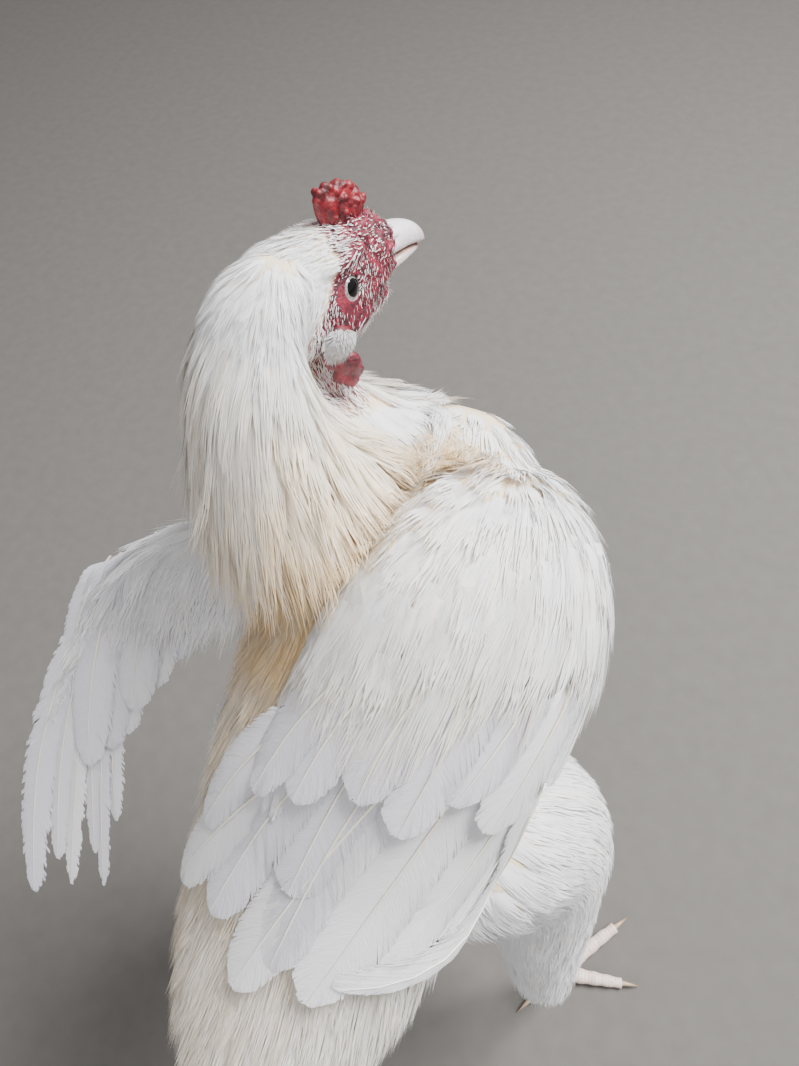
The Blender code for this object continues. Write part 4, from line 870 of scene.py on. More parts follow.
def lie_of_coat(middles, zones):
    """The way that feathers point at places on each part of the body."""
    ways = np.zeros_like(middles)
    ways[:] = -along_axis
    left = (middles - np.array(BODY_CENTRE)) @ left_axis
    # on the folded wing they run a little towards the back, on the flanks a little down
    ways[on_part(zones, "pad")] += left_axis * 0.10
    there = on_part(zones, "trunk")
    ways[there] += (np.sign(left) * np.minimum(np.abs(left) / 0.07, 1.0) * 0.12)[there, None] * left_axis
    there = on_part(zones, "neck")
    rows = np.linalg.norm(middles[there][:, None] - NECK_FINE[None, :, :3], axis=2).argmin(axis=1)
    rows = np.clip(rows, 1, len(NECK_FINE) - 2)
    ways[there] = unit(NECK_FINE[rows - 1, :3] - NECK_FINE[rows + 1, :3])
    for side in LEGS:
        there = on_part(zones, f"thigh_{side}")
        rows = thigh_rows(side, 40)
        nearest = np.linalg.norm(middles[there][:, None] - rows[None, :, :3], axis=2).argmin(axis=1)
        nearest = np.clip(nearest, 1, len(rows) - 2)
        ways[there] = unit(rows[nearest + 1, :3] - rows[nearest - 1, :3]) + np.array((0.0, 0.25, 0.0))
    ways[on_part(zones, "arm", "hand")] = -along_axis + left_axis * 0.05
    ways[on_part(zones, "tail")] = np.array(TAIL_BACK)
    there = on_part(zones, "head")
    own = head_own(middles[there])
    back = np.clip((-own[:, 0] - 0.012) / 0.028, 0.0, 1.0)
    ahead, up = (np.array(HEAD_AXES.col[k]) for k in (0, 2))
    flow = -ahead * (1.0 - 0.75 * back[:, None]) - up * (0.10 + 0.85 * back[:, None])
    # round the eye the bristles part and sweep past it
    from_eye = own[:, [0, 2]] - np.array((EYE_PLACE.x, EYE_PLACE.z))
    near = np.exp(-(np.linalg.norm(from_eye, axis=1) / 0.010) ** 2)[:, None]
    away = unit(from_eye)
    flow += near * 0.9 * (away[:, :1] * ahead + away[:, 1:] * up)
    ways[there] = flow
    return unit(ways)


class Ground:
    """The two skins as one surface: where it is nearest, which part it is, and how feathers lie there."""

    def __init__(self):
        unwrap(skin_body_object)
        unwrap(skin_head_object)
        points, faces, places = face_arrays(skin_body_object)
        head_points, head_faces, head_places = face_arrays(skin_head_object)
        middles = points[faces].mean(axis=1)
        owner = np.array([body_owner[body_tree.find_nearest(Vector(m))[2]] for m in middles])
        self.points = np.concatenate([points, head_points])
        self.faces = np.concatenate([faces, head_faces + len(points)])
        self.places = np.concatenate([places, head_places])
        self.zones = np.concatenate([owner, np.full(len(head_faces), ZONES.index("head"))])
        self.middles = self.points[self.faces].mean(axis=1)
        corners = self.points[self.faces]
        normals = np.cross(corners[:, 1] - corners[:, 0], corners[:, 2] - corners[:, 0])
        self.areas = np.linalg.norm(normals, axis=1) / 2
        self.normals = self.over_faces(normals, 3)
        flow = self.over_faces(lie_of_coat(self.middles, self.zones) * self.areas[:, None], 14)
        flow -= self.normals * (flow * self.normals).sum(axis=1, keepdims=True)
        self.flow = unit(flow)
        self.tree = BVHTree.FromPolygons(self.points.tolist(), self.faces.tolist())

    def over_faces(self, values, rounds):
        """Spreads values of faces smoothly over their neighbours."""
        count = len(self.points)
        corner_values = np.zeros((count, 3))
        for axis in range(3):
            for corner in range(3):
                corner_values[:, axis] += np.bincount(self.faces[:, corner], values[:, axis], count)
        return unit(smoothed(unit(corner_values), self.faces, count, rounds)[self.faces].mean(axis=1))

    def hidden(self, place, normal):
        """Whether a place lies under the other skin."""
        normal = Vector(normal)
        found, out, _, _ = self.tree.ray_cast(Vector(place) + normal * 0.0006, normal, 0.004)
        return found is not None and normal.dot(out) > 0

    def roots(self, faces, spacing, draw):
        """Random places on some faces, at least a spacing apart; the spacing is given for each face."""
        weights = self.areas[faces] / spacing[faces] ** 2
        count = int(weights.sum() * 3.2)
        picked = draw.choice(faces, count, p=weights / weights.sum())
        a, b = draw.random((2, count, 1))
        flip = (a + b) > 1
        a, b = np.where(flip, 1 - a, a), np.where(flip, 1 - b, b)
        corners = self.points[self.faces[picked]]
        places = corners[:, 0] + a * (corners[:, 1] - corners[:, 0]) + b * (corners[:, 2] - corners[:, 0])
        cell = float(spacing[faces].max())
        cells = {}
        kept = []
        keys = np.floor(places / cell).astype(int)
        gaps = spacing[picked]
        for i in range(count):
            x, y, z = keys[i]
            gap = gaps[i] ** 2
            place = places[i]
            free = True
            for key in ((x + p, y + q, z + r) for p in (-1, 0, 1) for q in (-1, 0, 1) for r in (-1, 0, 1)):
                for other in cells.get(key, ()):
                    if ((places[other] - place) ** 2).sum() < gap:
                        free = False
                        break
                if not free:
                    break
            if free:
                cells.setdefault((x, y, z), []).append(i)
                kept.append(i)
        kept = np.array(kept)
        return places[kept], picked[kept]

    def walk(self, places, ways, lengths, steps, follow=0.45, free=False):
        """Paths from each place over the skin, or straight on where they hang free of it.

        With them come the ways out, and the unwrap place at each root.
        """
        count = len(places)
        found = np.zeros((count, steps, 3))
        outs = np.zeros((count, steps, 3))
        roots = np.zeros((count, 2))
        for i in range(count):
            point = Vector(places[i])
            way = Vector(ways[i])
            step = lengths[i] / (steps - 1)
            for k in range(steps):
                if k == 0 or not free:
                    near, _, face, _ = self.tree.find_nearest(point)
                    normal = Vector(self.normals[face])
                else:
                    near = point
                if k == 0:
                    roots[i] = self.places[face]
                elif not free:
                    way = way * (1.0 - follow) + Vector(self.flow[face]) * follow
                way = (way - normal * way.dot(normal)).normalized()
                found[i, k] = near
                outs[i, k] = normal
                point = near + way * step
        return found, outs, roots


GROUND = Ground()


def mark_bare(obj):
    """Marks where the skin is bare: the face in front of the hood, and the hollows round the ears."""
    own = own_places(obj)
    if obj is skin_head_object:
        bare = np.maximum(np.clip(1.0 - hood_share(own) / 0.0025, 0.0, 1.0), ear_share(own))
    else:
        near = (np.linalg.norm(own, axis=1) < 0.06) & (own[:, 0] > HOOD_BACK)
        bare = np.where(near, ear_share(own), 0.0)
    set_values(obj, "bare", bare)


# Feathers

def joined(name, points, corners, sizes, maps, values, material_of, replaced=()):
    """Makes one piece from arrays: points, the faces' corners, how many each has, UV maps and values."""
    mesh = bpy.data.meshes.new(name)
    mesh.vertices.add(len(points))
    mesh.vertices.foreach_set("co", np.ascontiguousarray(points, np.float32).ravel())
    mesh.loops.add(len(corners))
    mesh.loops.foreach_set("vertex_index", corners.astype(np.int32))
    mesh.polygons.add(len(sizes))
    starts = np.concatenate([[0], np.cumsum(sizes)[:-1]]).astype(np.int32)
    mesh.polygons.foreach_set("loop_start", starts)
    mesh.update(calc_edges=True)
    for key, uv in maps.items():
        layer = mesh.uv_layers.new(name=key)
        layer.data.foreach_set("uv", np.ascontiguousarray(uv[corners], np.float32).ravel())
    obj = object_of(name, mesh, material_of)
    for key, value in values.items():
        set_values(obj, key, value)
    finish_piece(obj, replaced)


def bake_places(root, x, y):
    """Places in the bake map: a small patch round the root's, for x and y from -1 to 1 over a feather."""
    return np.clip(root + BAKE_HALF * np.stack([x, y], axis=-1), BAKE_RIM, 1.0 - BAKE_RIM)


def finish_piece(obj, replaced=()):
    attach(obj, "root")
    if replaced:
        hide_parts(*replaced)


def at(values, share):
    """Values along paths (feathers, stations, 3) at shares (feathers, ...) of their length."""
    last = values.shape[1] - 1
    place = np.clip(share * last, 0.0, last - 1e-6)
    low = place.astype(int)
    part = (place - low)[..., None]
    rows = np.arange(len(values)).reshape(-1, *([1] * (share.ndim - 1)))
    return values[rows, low] * (1 - part) + values[rows, low + 1] * part


def tufts(name, paths, outs, roots, lengths, widths, warmth, draw, strands=5, stations=5, split=0.5,
          lift=0.002, rise=0.0, splay=0.25, taper=0.35, ragged=0.18, camber=0.25, material_of=None,
          twist=0.35, base=-0.0006):
    """Feathers of several strands each, closed near the root and parted towards their tips.

    The paths and ways out come from a walk over the skin. The base is the height at the root, the
    lift the height at the tip, and the rise is how far the tip bends away besides.
    """
    count = len(paths)
    lift, base = np.broadcast_to(lift, count), np.broadcast_to(base, count)
    rise = np.broadcast_to(rise, count)
    ways = unit(np.gradient(paths, axis=1))
    sides = unit(np.cross(ways, outs))
    tilt = (draw.random((count, 1, 1)) - 0.5) * twist
    sides = unit(sides + outs * tilt)
    across = (2 * np.arange(strands) + 1) / strands - 1
    reach = 1.0 - taper * across**2 * 0.6 + ragged * (draw.random((count, strands)) - 0.6)
    reach = np.clip(reach, 0.3, 1.06)
    share = np.linspace(0.0, 1.0, stations)[None, None, :] * reach[:, :, None]
    middle = at(paths, share)
    out = unit(at(outs, share))
    side = unit(at(sides, share))
    profile = np.interp(share, (0.0, 0.15, 0.45, 0.75, 1.0), (0.35, 0.75, 1.0, 0.85, 0.5))
    width = widths[:, None, None] * profile
    open_up = np.clip((share - split) / max(1.0 - split, 0.05), 0.0, 1.0)
    wander = (draw.random((count, strands, 1)) - 0.5) * splay * widths[:, None, None] * open_up * 2.0
    place_across = across[None, :, None] * width * (1.0 + splay * open_up) + wander
    own = width / strands * np.interp(np.linspace(0.0, 1.0, stations)[None, None, :] + 0 * share,
                                      (0.0, split, 0.85, 1.0), (1.08, 1.04, 0.55, 0.0))
    height = (base[:, None, None] + (lift - base)[:, None, None] * share**0.8
              + rise[:, None, None] * share**2.2
              - camber * place_across**2 / np.maximum(widths[:, None, None], 1e-4)
              + (draw.random((count, strands, 1)) - 0.5) * 0.0008 * open_up
              + draw.random((count, 1, 1)) * 0.0008 * share)
    line = middle + side * place_across[..., None] + out * height[..., None]
    left = line - side * own[..., None]
    right = line + side * own[..., None]
    pairs = np.stack([left[:, :, :-1], right[:, :, :-1]], axis=3)
    pairs = pairs.reshape(count, strands, 2 * (stations - 1), 3)
    points = np.concatenate([pairs, line[:, :, -1:]], axis=2)
    per = 2 * (stations - 1) + 1
    pattern = []
    sizes = []
    for k in range(stations - 2):
        pattern += [2 * k, 2 * k + 1, 2 * k + 3, 2 * k + 2]
        sizes.append(4)
    pattern += [2 * (stations - 2), 2 * (stations - 2) + 1, per - 1]
    sizes.append(3)
    total = count * strands
    corners = (np.arange(total)[:, None] * per + np.array(pattern)[None]).ravel()
    sizes = np.tile(sizes, total)
    # where each point is in its feather, for both maps
    x_pairs = np.stack([place_across - own, place_across + own], axis=3)[:, :, :-1]
    x = np.concatenate([x_pairs.reshape(count, strands, -1), place_across[:, :, -1:]], axis=2)
    y_pairs = np.repeat(share[:, :, :-1], 2, axis=2)
    y = np.concatenate([y_pairs, share[:, :, -1:]], axis=2)
    spread_x = x / np.maximum(widths[:, None, None], 1e-5)
    bake = bake_places(roots[:, None, None, :], np.clip(spread_x, -1, 1), 2 * y - 1)
    seed = draw.random((count, 1, 1)) * 37.0
    vane = np.stack([x * 100 + seed, y * lengths[:, None, None] * 100 + seed], axis=-1)
    tint = np.clip(0.55 + 0.45 * draw.random((count, 1, 1)) + 0 * y, 0, 1)
    warm = np.clip(warmth[:, None, None] * (0.35 + 0.75 * y), 0, 1)
    maps = {"OFBake": bake.reshape(-1, 2), "Vane": vane.reshape(-1, 2)}
    values = {"tint": tint.ravel(), "warmth": warm.ravel()}
    joined(name, points.reshape(-1, 3), corners, sizes, maps, values, material_of)


def hood_share(own):
    """How far a place on the head is inside the hood of feathers: below 0 is bare face, above 0 is hood."""
    return np.interp(own[:, 2], HOOD_HEIGHTS, HOOD_EDGE) - own[:, 0]


def neck_share(places):
    """How far up the neck a place is, from 0 at its base to 1 at the crown."""
    rows = np.linalg.norm(places[:, None] - NECK_FINE[None, :, :3], axis=2).argmin(axis=1)
    return rows / (len(NECK_FINE) - 1)


# The soft coat

def patch(name, faces, spacing, length, half_width, seed, warmth=0.0, steps=5, vary=0.18, material_of=None,
          turn=0.18, follow=0.45, free=False, off_ears=False, **shape):
    """Covers some faces of the ground with tufts; what is given as an array differs by face."""
    draw = np.random.default_rng(seed)
    total = len(GROUND.faces)
    spacing, length, half_width, warmth = (
        np.broadcast_to(np.asarray(value, float), total) for value in (spacing, length, half_width, warmth)
    )
    places, picked = GROUND.roots(np.flatnonzero(faces), spacing, draw)
    normals = GROUND.normals[picked]
    clear = np.array([not GROUND.hidden(p, n) for p, n in zip(places, normals)])
    places, picked, normals = places[clear], picked[clear], normals[clear]
    count = len(places)
    lengths = np.clip(length[picked] * (1 + vary * draw.normal(size=count)), 0.001, None)
    widths = half_width[picked] * (1 + 0.12 * draw.normal(size=count))
    warm = warmth[picked] + 0.08 * draw.normal(size=count)
    ways = GROUND.flow[picked]
    sides = np.cross(normals, ways)
    ways = unit(ways + sides * (turn * draw.normal(size=count))[:, None])
    paths, outs, roots = GROUND.walk(places, ways, lengths, steps, follow, free)
    if off_ears:
        # no feather reaches over the bare skin round an ear
        kept = ear_share(head_own(paths[:, 1:].reshape(-1, 3))).reshape(count, -1).max(axis=1) <= 0.5
        paths, outs, roots, picked = paths[kept], outs[kept], roots[kept], picked[kept]
        lengths, widths, warm = lengths[kept], widths[kept], warm[kept]
    for key, value in shape.items():
        if isinstance(value, np.ndarray):
            shape[key] = value[picked]
    tufts(name, paths, outs, roots, lengths, widths, np.clip(warm, 0, 1), draw,
          material_of=material_of or SOFT, **shape)


def soft_coat():
    """The small feathers of the body, in pieces by where they grow."""
    middles = GROUND.middles
    local = middles - np.array(BODY_CENTRE)
    along, out, left = local @ along_axis, local @ out_axis, local @ left_axis
    zones = GROUND.zones
    trunk = on_part(zones, "trunk")
    # creamy over the saddle and the back's left side, white on the breast and the tail's sides
    cream = np.interp(along, (-0.13, -0.06, 0.05, 0.10), (0.06, 0.20, 0.36, 0.50))
    cream = cream * np.clip((out + 0.03) / 0.05, 0, 1) * np.clip((left + 0.05) / 0.06, 0.15, 1)

    flank = trunk & (out < 0.012) & (along < 0.10) & (along > -0.09) & (out > -0.06)
    patch("flank_feathers", flank, 0.0052, 0.034, 0.0058, 10, 0.5 * cream, lift=0.0030, rise=0.002,
          strands=10, split=0.35, splay=0.4)
    patch("breast_feathers", trunk & (out < 0.012) & ~flank, 0.0052, np.where(along > 0.12, 0.019, 0.025),
          0.0056, 11, 0.5 * cream, lift=0.0018, strands=8, split=0.45)
    # the loose tan fluff of the upper back, between the hackle and the folded wing
    patch("upper_back_fluff", trunk & (out >= 0.012) & (along > 0.085), 0.0036, 0.028, 0.0034, 12,
          np.interp(along, (0.085, 0.125), (0.50, 1.0)) * np.interp(left, (-0.03, 0.0), (0.35, 1.0)),
          lift=np.interp(along, (0.12, 0.17), (0.0030, 0.0090)), rise=0.003, strands=12, split=0.12,
          splay=0.9, ragged=0.3, turn=0.38, material_of=HACKLE)
    # the saddle: long and narrow, hanging free at the flank
    patch("saddle_feathers", trunk & (out >= 0.012) & (along <= 0.085), 0.0043,
          np.interp(along, (-0.13, -0.06, 0.02, 0.085), (0.036, 0.060, 0.050, 0.040)), 0.0042, 13, cream,
          steps=6, lift=0.0036, rise=np.interp(along, (-0.12, -0.04), (0.010, 0.003)), strands=12,
          stations=6, split=0.30, splay=0.45, ragged=0.3, material_of=HACKLE, follow=0.35)
    height = middles[:, 2] - SHIFT.z
    patch("thigh_feathers", on_part(zones, "thigh_right", "thigh_left"),
          np.interp(height, (0.14, 0.24), (0.0042, 0.0056)),
          np.interp(height, (0.14, 0.20, 0.26, 0.34), (0.020, 0.028, 0.030, 0.034)),
          np.interp(height, (0.14, 0.24), (0.0042, 0.0058)), 14,
          lift=np.interp(height, (0.14, 0.18, 0.26, 0.30, 0.36), (0.0070, 0.0080, 0.0050, 0.0026, 0.0032)),
          rise=np.interp(height, (0.14, 0.20), (0.0020, 0.0006)), strands=10, split=0.45, splay=0.30)
    patch("tail_base_feathers", on_part(zones, "tail"), 0.0050, 0.036, 0.0060, 15, 0.2, lift=0.003,
          strands=10, split=0.4)
    # the lesser coverts: soft hairy feathers on the folded wing and on the open one
    middle_out, half, back = (np.interp(along, TRUNK_FINE[:, 0], TRUNK_FINE[:, k]) for k in (1, 2, 3))
    angle = np.degrees(np.arctan2(left / half, (out - middle_out) / back))
    past = along - np.interp(angle, COVERT_ANGLES, COVERT_EDGE)
    pad = on_part(zones, "pad")
    patch("shoulder_coverts", pad & (past > 0.016), 0.0046,
          np.interp(past, (0.016, 0.05, 0.09), (0.042, 0.036, 0.024)),
          np.interp(past, (0.03, 0.07), (0.0074, 0.0056)), 16, 0.10 + 0.15 * (out > 0.04), vary=0.28,
          lift=np.interp(past, (0.016, 0.05, 0.08), (0.0110, 0.0085, 0.0035)),
          base=np.interp(past, (0.016, 0.045, 0.065), (0.0085, 0.0062, -0.0006)), rise=0.001, strands=16,
          split=0.42, splay=0.45, ragged=0.40, taper=1.1)
    patch("lower_wing_down", pad & ~(past > 0.016), 0.0075, 0.024, 0.0062, 17, 0.05, lift=0.0008,
          strands=4, split=0.5)
    arm = on_part(zones, "arm", "hand")
    upper_side = GROUND.normals @ out_axis > 0.15
    patch("open_wing_coverts", arm & upper_side, 0.0034,
          np.interp(left, (0.09, 0.14, 0.17), (0.038, 0.032, 0.020)), 0.0052, 18, vary=0.28, free=True,
          lift=0.0035, strands=12, split=0.35, splay=0.5, ragged=0.4, taper=0.8)
    patch("open_wing_lining", arm & ~upper_side, 0.0044, 0.014, 0.0048, 19, 0.05, lift=0.0015, strands=8,
          split=0.4)


def hackle_coat():
    """The neck's long silky feathers, from the hood down to the shoulders."""
    middles = GROUND.middles
    neck = on_part(GROUND.zones, "neck")
    up = np.zeros(len(middles))
    up[neck] = neck_share(middles[neck])
    own = head_own(middles)
    neck &= ear_share(own) * (own[:, 0] > HOOD_BACK) < 0.4
    warm = np.interp(up, (0.0, 0.36, 0.46, 0.6, 0.8), (0.95, 0.62, 0.24, 0.10, 0.0))
    ahead = middles @ np.array((0.0, -1.0, 0.0)) + np.interp(middles[:, 2], NECK_FINE[:, 2], NECK_FINE[:, 1])
    front = np.clip(ahead / 0.03, 0.0, 1.0)
    right = middles[:, 0] < NECK_FINE[20, 0]
    warm = np.clip(warm + 0.30 * (right & (up < 0.62) & (up > 0.2)) * (1 - front), 0, 1)
    base = neck & (up < 0.42)
    patch("neck_base_fluff", base & (front < 0.3), 0.0040, 0.026, 0.0036, 20, 0.95, lift=0.0020, rise=0.003,
          strands=10, split=0.15, splay=0.9, ragged=0.35, turn=0.40, material_of=HACKLE)
    patch("throat_feathers", base & (front >= 0.3), 0.0048, 0.032, 0.0056, 24, 0.04, lift=0.0080, rise=0.0,
          strands=10, split=0.60, splay=0.2, turn=0.08)
    patch("neck_lower_hackle", neck & (up >= 0.38) & (up < 0.58), 0.0036,
          np.interp(up, (0.38, 0.58), (0.042, 0.050)), 0.0038, 21, warm, steps=6,
          lift=np.interp(up, (0.38, 0.58), (0.0115, 0.0060)) * (1 - 0.5 * front),
          rise=np.interp(up, (0.38, 0.50, 0.58), (0.013, 0.009, 0.003)) * (1 - 0.9 * front), strands=12,
          stations=6, split=0.42, splay=0.5, ragged=0.4, taper=0.8, material_of=HACKLE, follow=0.25)
    patch("neck_middle_hackle", neck & (up >= 0.52) & (up < 0.76), 0.0030, 0.034, 0.0032, 22, warm, steps=6,
          off_ears=True, lift=0.0036, rise=0.0015, strands=9, stations=5, split=0.45, splay=0.4, ragged=0.35,
          taper=0.8, material_of=HACKLE, follow=0.35)
    patch("nape_hackle", neck & (up >= 0.68), 0.0017, 0.0170, 0.0015, 23, warm, steps=5, off_ears=True,
          lift=0.0016, rise=0.0003, strands=5, stations=4, split=0.35, splay=0.3, ragged=0.3, follow=0.40)


def hood_and_bristles():
    """On the head: the hood's narrow feathers, and the short bristles over the bare face."""
    head = on_part(GROUND.zones, "head")
    own = head_own(GROUND.middles)
    inside = np.where(head, hood_share(own), -1.0)
    near_ear = ear_share(own)
    deep = np.clip(inside / 0.012, 0, 1)
    patch("hood_feathers", head & (inside > 0.0) & (near_ear < 0.5),
          np.interp(deep, (0, 1), (0.00095, 0.0013)),
          np.interp(deep, (0, 1), (0.0066, 0.0120)), np.interp(deep, (0, 1), (0.00055, 0.0011)), 31,
          steps=5, off_ears=True, lift=np.interp(deep, (0, 1), (0.0011, 0.0014)), strands=4, stations=4,
          split=0.30, splay=0.35, ragged=0.3)
    from_eye = np.stack([own[:, 0] - EYE_PLACE.x, own[:, 2] - EYE_PLACE.z], axis=-1)
    face = head & (inside <= 0.0) & (np.linalg.norm(from_eye, axis=1) > 0.0066)
    # few bristles on the bare patch under the eye, dense ones on the brow and the jaw
    under_eye = np.exp(-((own[:, 0] + 0.006) / 0.009) ** 2 - ((own[:, 2] + 0.0085) / 0.0050) ** 2)
    above_eye = np.exp(-((own[:, 0] + 0.012) / 0.005) ** 2 - ((own[:, 2] - 0.0105) / 0.0022) ** 2)
    spacing = 0.00084 + 0.0015 * under_eye + 0.0007 * above_eye + 0.0003 * (own[:, 0] > 0.008)
    brow = (own[:, 2] > 0.0115) & (own[:, 0] < 0.010)
    jaw = own[:, 2] < -0.013
    length = np.where(brow, 0.0050, np.where(jaw, 0.0048, 0.0030))
    bristle = dict(steps=3, vary=0.3, strands=1, stations=3, split=0.6, splay=0.0, camber=0.0,
                   material_of=BRISTLE)
    patch("face_bristles", face, spacing, length, np.where(brow | jaw, 0.00026, 0.00021), 32, 0.05,
          lift=np.where(jaw, 0.0016, 0.0008), rise=0.0004, turn=0.30, **bristle)
    # bristles with red skin between them round the ears
    rim = on_part(GROUND.zones, "neck") & (near_ear >= 0.4) & (own[:, 0] > HOOD_BACK)
    rim |= head & (inside > 0.0) & (near_ear >= 0.5)
    patch("ear_rim_bristles", rim, 0.0010, 0.0048, 0.00026, 33, 0.08, lift=0.0012, rise=0.0008, turn=0.4,
          **bristle)


mark_bare(skin_body_object)
mark_bare(skin_head_object)
soft_coat()
hackle_coat()
hood_and_bristles()


# The large feathers

def frame_stations(line, stations):
    """Middles, sideways steps and ways out of a feather's line at its stations."""
    middle = np.array([line(s, 0.0)[0] for s in stations])
    out = np.array([line(s, 0.0)[1] for s in stations])
    beside = np.array([line(s, 0.001)[0] for s in stations])
    return middle, unit(beside - middle), unit(out)


VANE_WIDTHS = ((0.0, 0.10, 0.30, 0.60, 0.85, 0.95, 1.0), (0.38, 0.72, 0.92, 1.0, 0.86, 0.60, 0.16))
COVERT_WIDTHS = ((0.0, 0.15, 0.40, 0.75, 0.92, 1.0), (0.50, 0.85, 1.0, 0.96, 0.66, 0.20))
POINTED_WIDTHS = ((0.0, 0.15, 0.40, 0.70, 0.90, 1.0), (0.55, 0.90, 1.0, 0.74, 0.38, 0.06))


class Quills:
    """Gathers the faces of many large feathers, and makes one piece for the vanes and one for the shafts."""

    def __init__(self, seed):
        self.draw = np.random.default_rng(seed)
        self.vanes = []
        self.shafts = []

    def feather(self, line, half_width, widths=VANE_WIDTHS, rises=(0.0, 0.0), rise_at=(0.0, 1.0), slope=0.0,
                barbs=44, warmth=0.05, splits=2, ragged=0.06, shaft=0.0011, camber=0.16, uneven=0.0):
        """One feather: strips of barbs running out and forward from a shaft on both sides."""
        draw = self.draw
        stations = np.linspace(0.0, 1.0, 25)
        middle, side, out = frame_stations(line, stations)
        steps = np.linalg.norm(np.diff(middle, axis=0), axis=1)
        travelled = np.concatenate([[0.0], np.cumsum(steps)])
        length = travelled[-1]
        travelled /= length

        def place(share):
            found = [np.stack([np.interp(share, travelled, v[:, k]) for k in range(3)], -1)
                     for v in (middle, side, out)]
            return found[0], unit(found[1]), unit(found[2])

        root_map = place(np.array([0.04]))[0][0]
        near = GROUND.tree.find_nearest(Vector(root_map))
        bake = GROUND.places[near[2]]
        seed = draw.random() * 50
        shade = 0.55 + 0.45 * draw.random()
        for sign in (-1.0, 1.0):
            reach = half_width * (1.0 + sign * uneven)
            start = 0.06 + 0.93 * (np.arange(barbs) + 0.5 + 0.25 * (draw.random(barbs) - 0.5)) / barbs
            start = np.concatenate([[0.05], start, [0.997]])
            edges = (start[:-1] + start[1:]) / 2
            low, high = start[:-1], start[1:]
            ripple = 1.0 + ragged * (draw.random(len(edges)) - 0.6)
            ripple[-3:] *= 1.0 - 0.25 * draw.random(3)
            # a split parts the barbs: those past it fall back, those before it lean forward
            parting = np.zeros(len(edges))
            for _ in range(splits):
                at_barb = int(draw.integers(6, len(edges) - 3))
                gap = (0.002 + 0.006 * draw.random()) * (0.10 / max(length, 0.05))
                parting[at_barb:] += gap * np.exp(-(np.arange(len(edges) - at_barb)) / 2.5)
                parting[:at_barb] -= 0.5 * gap * np.exp(-(np.arange(at_barb)[::-1]) / 2.5)
            sigma = np.array([0.0, 0.36, 0.80, 1.0])
            ruffle = draw.random(len(edges)) - 0.5
            for k in range(len(edges)):
                pair = []
                for bound in (low[k] - 0.06 * (high[k] - low[k]), high[k] + 0.06 * (high[k] - low[k])):
                    across_full = np.interp(bound, widths[0], widths[1]) * reach
                    ahead = min(1.35 * across_full, 0.85 * length * (1.0 - bound) + 0.001) / length
                    tip = min(bound + ahead, 1.0)
                    across = max(np.interp(tip, widths[0], widths[1]) * reach, 0.02 * reach) * sigma
                    across[-1] *= ripple[k]
                    share = bound + ahead * sigma**1.25 + parting[k] * sigma**1.5
                    pair.append((np.clip(share, 0.0, 1.0), across))
                points = []
                coords = []
                for share, across in pair:
                    centre, beside, outward = place(share)
                    height = np.interp(share, rise_at, rises) + slope * sign * across
                    height = height - camber * across**2 / half_width + 0.00040 * sigma**2 * ruffle[k]
                    points.append(centre + beside * (sign * across)[:, None] + outward * height[:, None])
                    coords.append(np.stack([sign * across, share * length], -1))
                self.vanes.append((np.array(points), np.array(coords), bake, seed, shade, warmth, reach,
                                   length))
        share = np.linspace(0.0, 0.985, 12)
        centre, beside, outward = place(share)
        height = np.interp(share, rise_at, rises) + 0.00040
        radius = shaft * (1.0 - share) ** 0.8 + 0.00014
        ring = [(cos(a), max(sin(a), -0.2)) for a in np.radians((0.0, 60.0, 120.0, 180.0, 270.0))]
        tube = np.stack([
            centre + beside * (radius * x)[:, None] + outward * (height + radius * 0.8 * y)[:, None]
            for x, y in ring
        ], axis=1)
        self.shafts.append((tube, bake, seed, warmth))

    def make_vanes(self, name, *replaced):
        count = len(self.vanes)
        stations = self.vanes[0][0].shape[1]
        points = np.array([vane[0] for vane in self.vanes]).transpose(0, 2, 1, 3).reshape(-1, 3)
        coords = np.array([vane[1] for vane in self.vanes]).transpose(0, 2, 1, 3)
        per = stations * 2
        pattern = np.array([[2 * k, 2 * k + 1, 2 * k + 3, 2 * k + 2] for k in range(stations - 1)]).ravel()
        corners = (np.arange(count)[:, None] * per + pattern[None]).ravel()
        sizes = np.full(count * (stations - 1), 4)
        bake = np.array([vane[2] for vane in self.vanes])[:, None, :]
        seed, shade, warm, reach, length = (
            np.array([vane[k] for vane in self.vanes])[:, None] for k in range(3, 8)
        )
        flat = coords.reshape(count, per, 2)
        bake = bake_places(bake, np.clip(flat[..., 0] / reach, -1, 1), 2 * flat[..., 1] / length - 1)
        # across the barbs the map steps forward, so that the strands follow each barb out to its edge
        ahead = (flat[..., 1] - 0.9 * np.abs(flat[..., 0])) * 100 + seed
        vane = np.stack([ahead, flat[..., 0] * 100], axis=-1)
        maps = {"OFBake": bake.reshape(-1, 2), "Vane": vane.reshape(-1, 2)}
        tint = np.broadcast_to(shade, (count, per))
        warm = np.clip(warm * (0.4 + 0.8 * flat[..., 1] / length), 0, 1)
        values = {"tint": tint.ravel(), "warmth": warm.ravel()}
        joined(name, points, corners, sizes, maps, values, VANE, replaced)

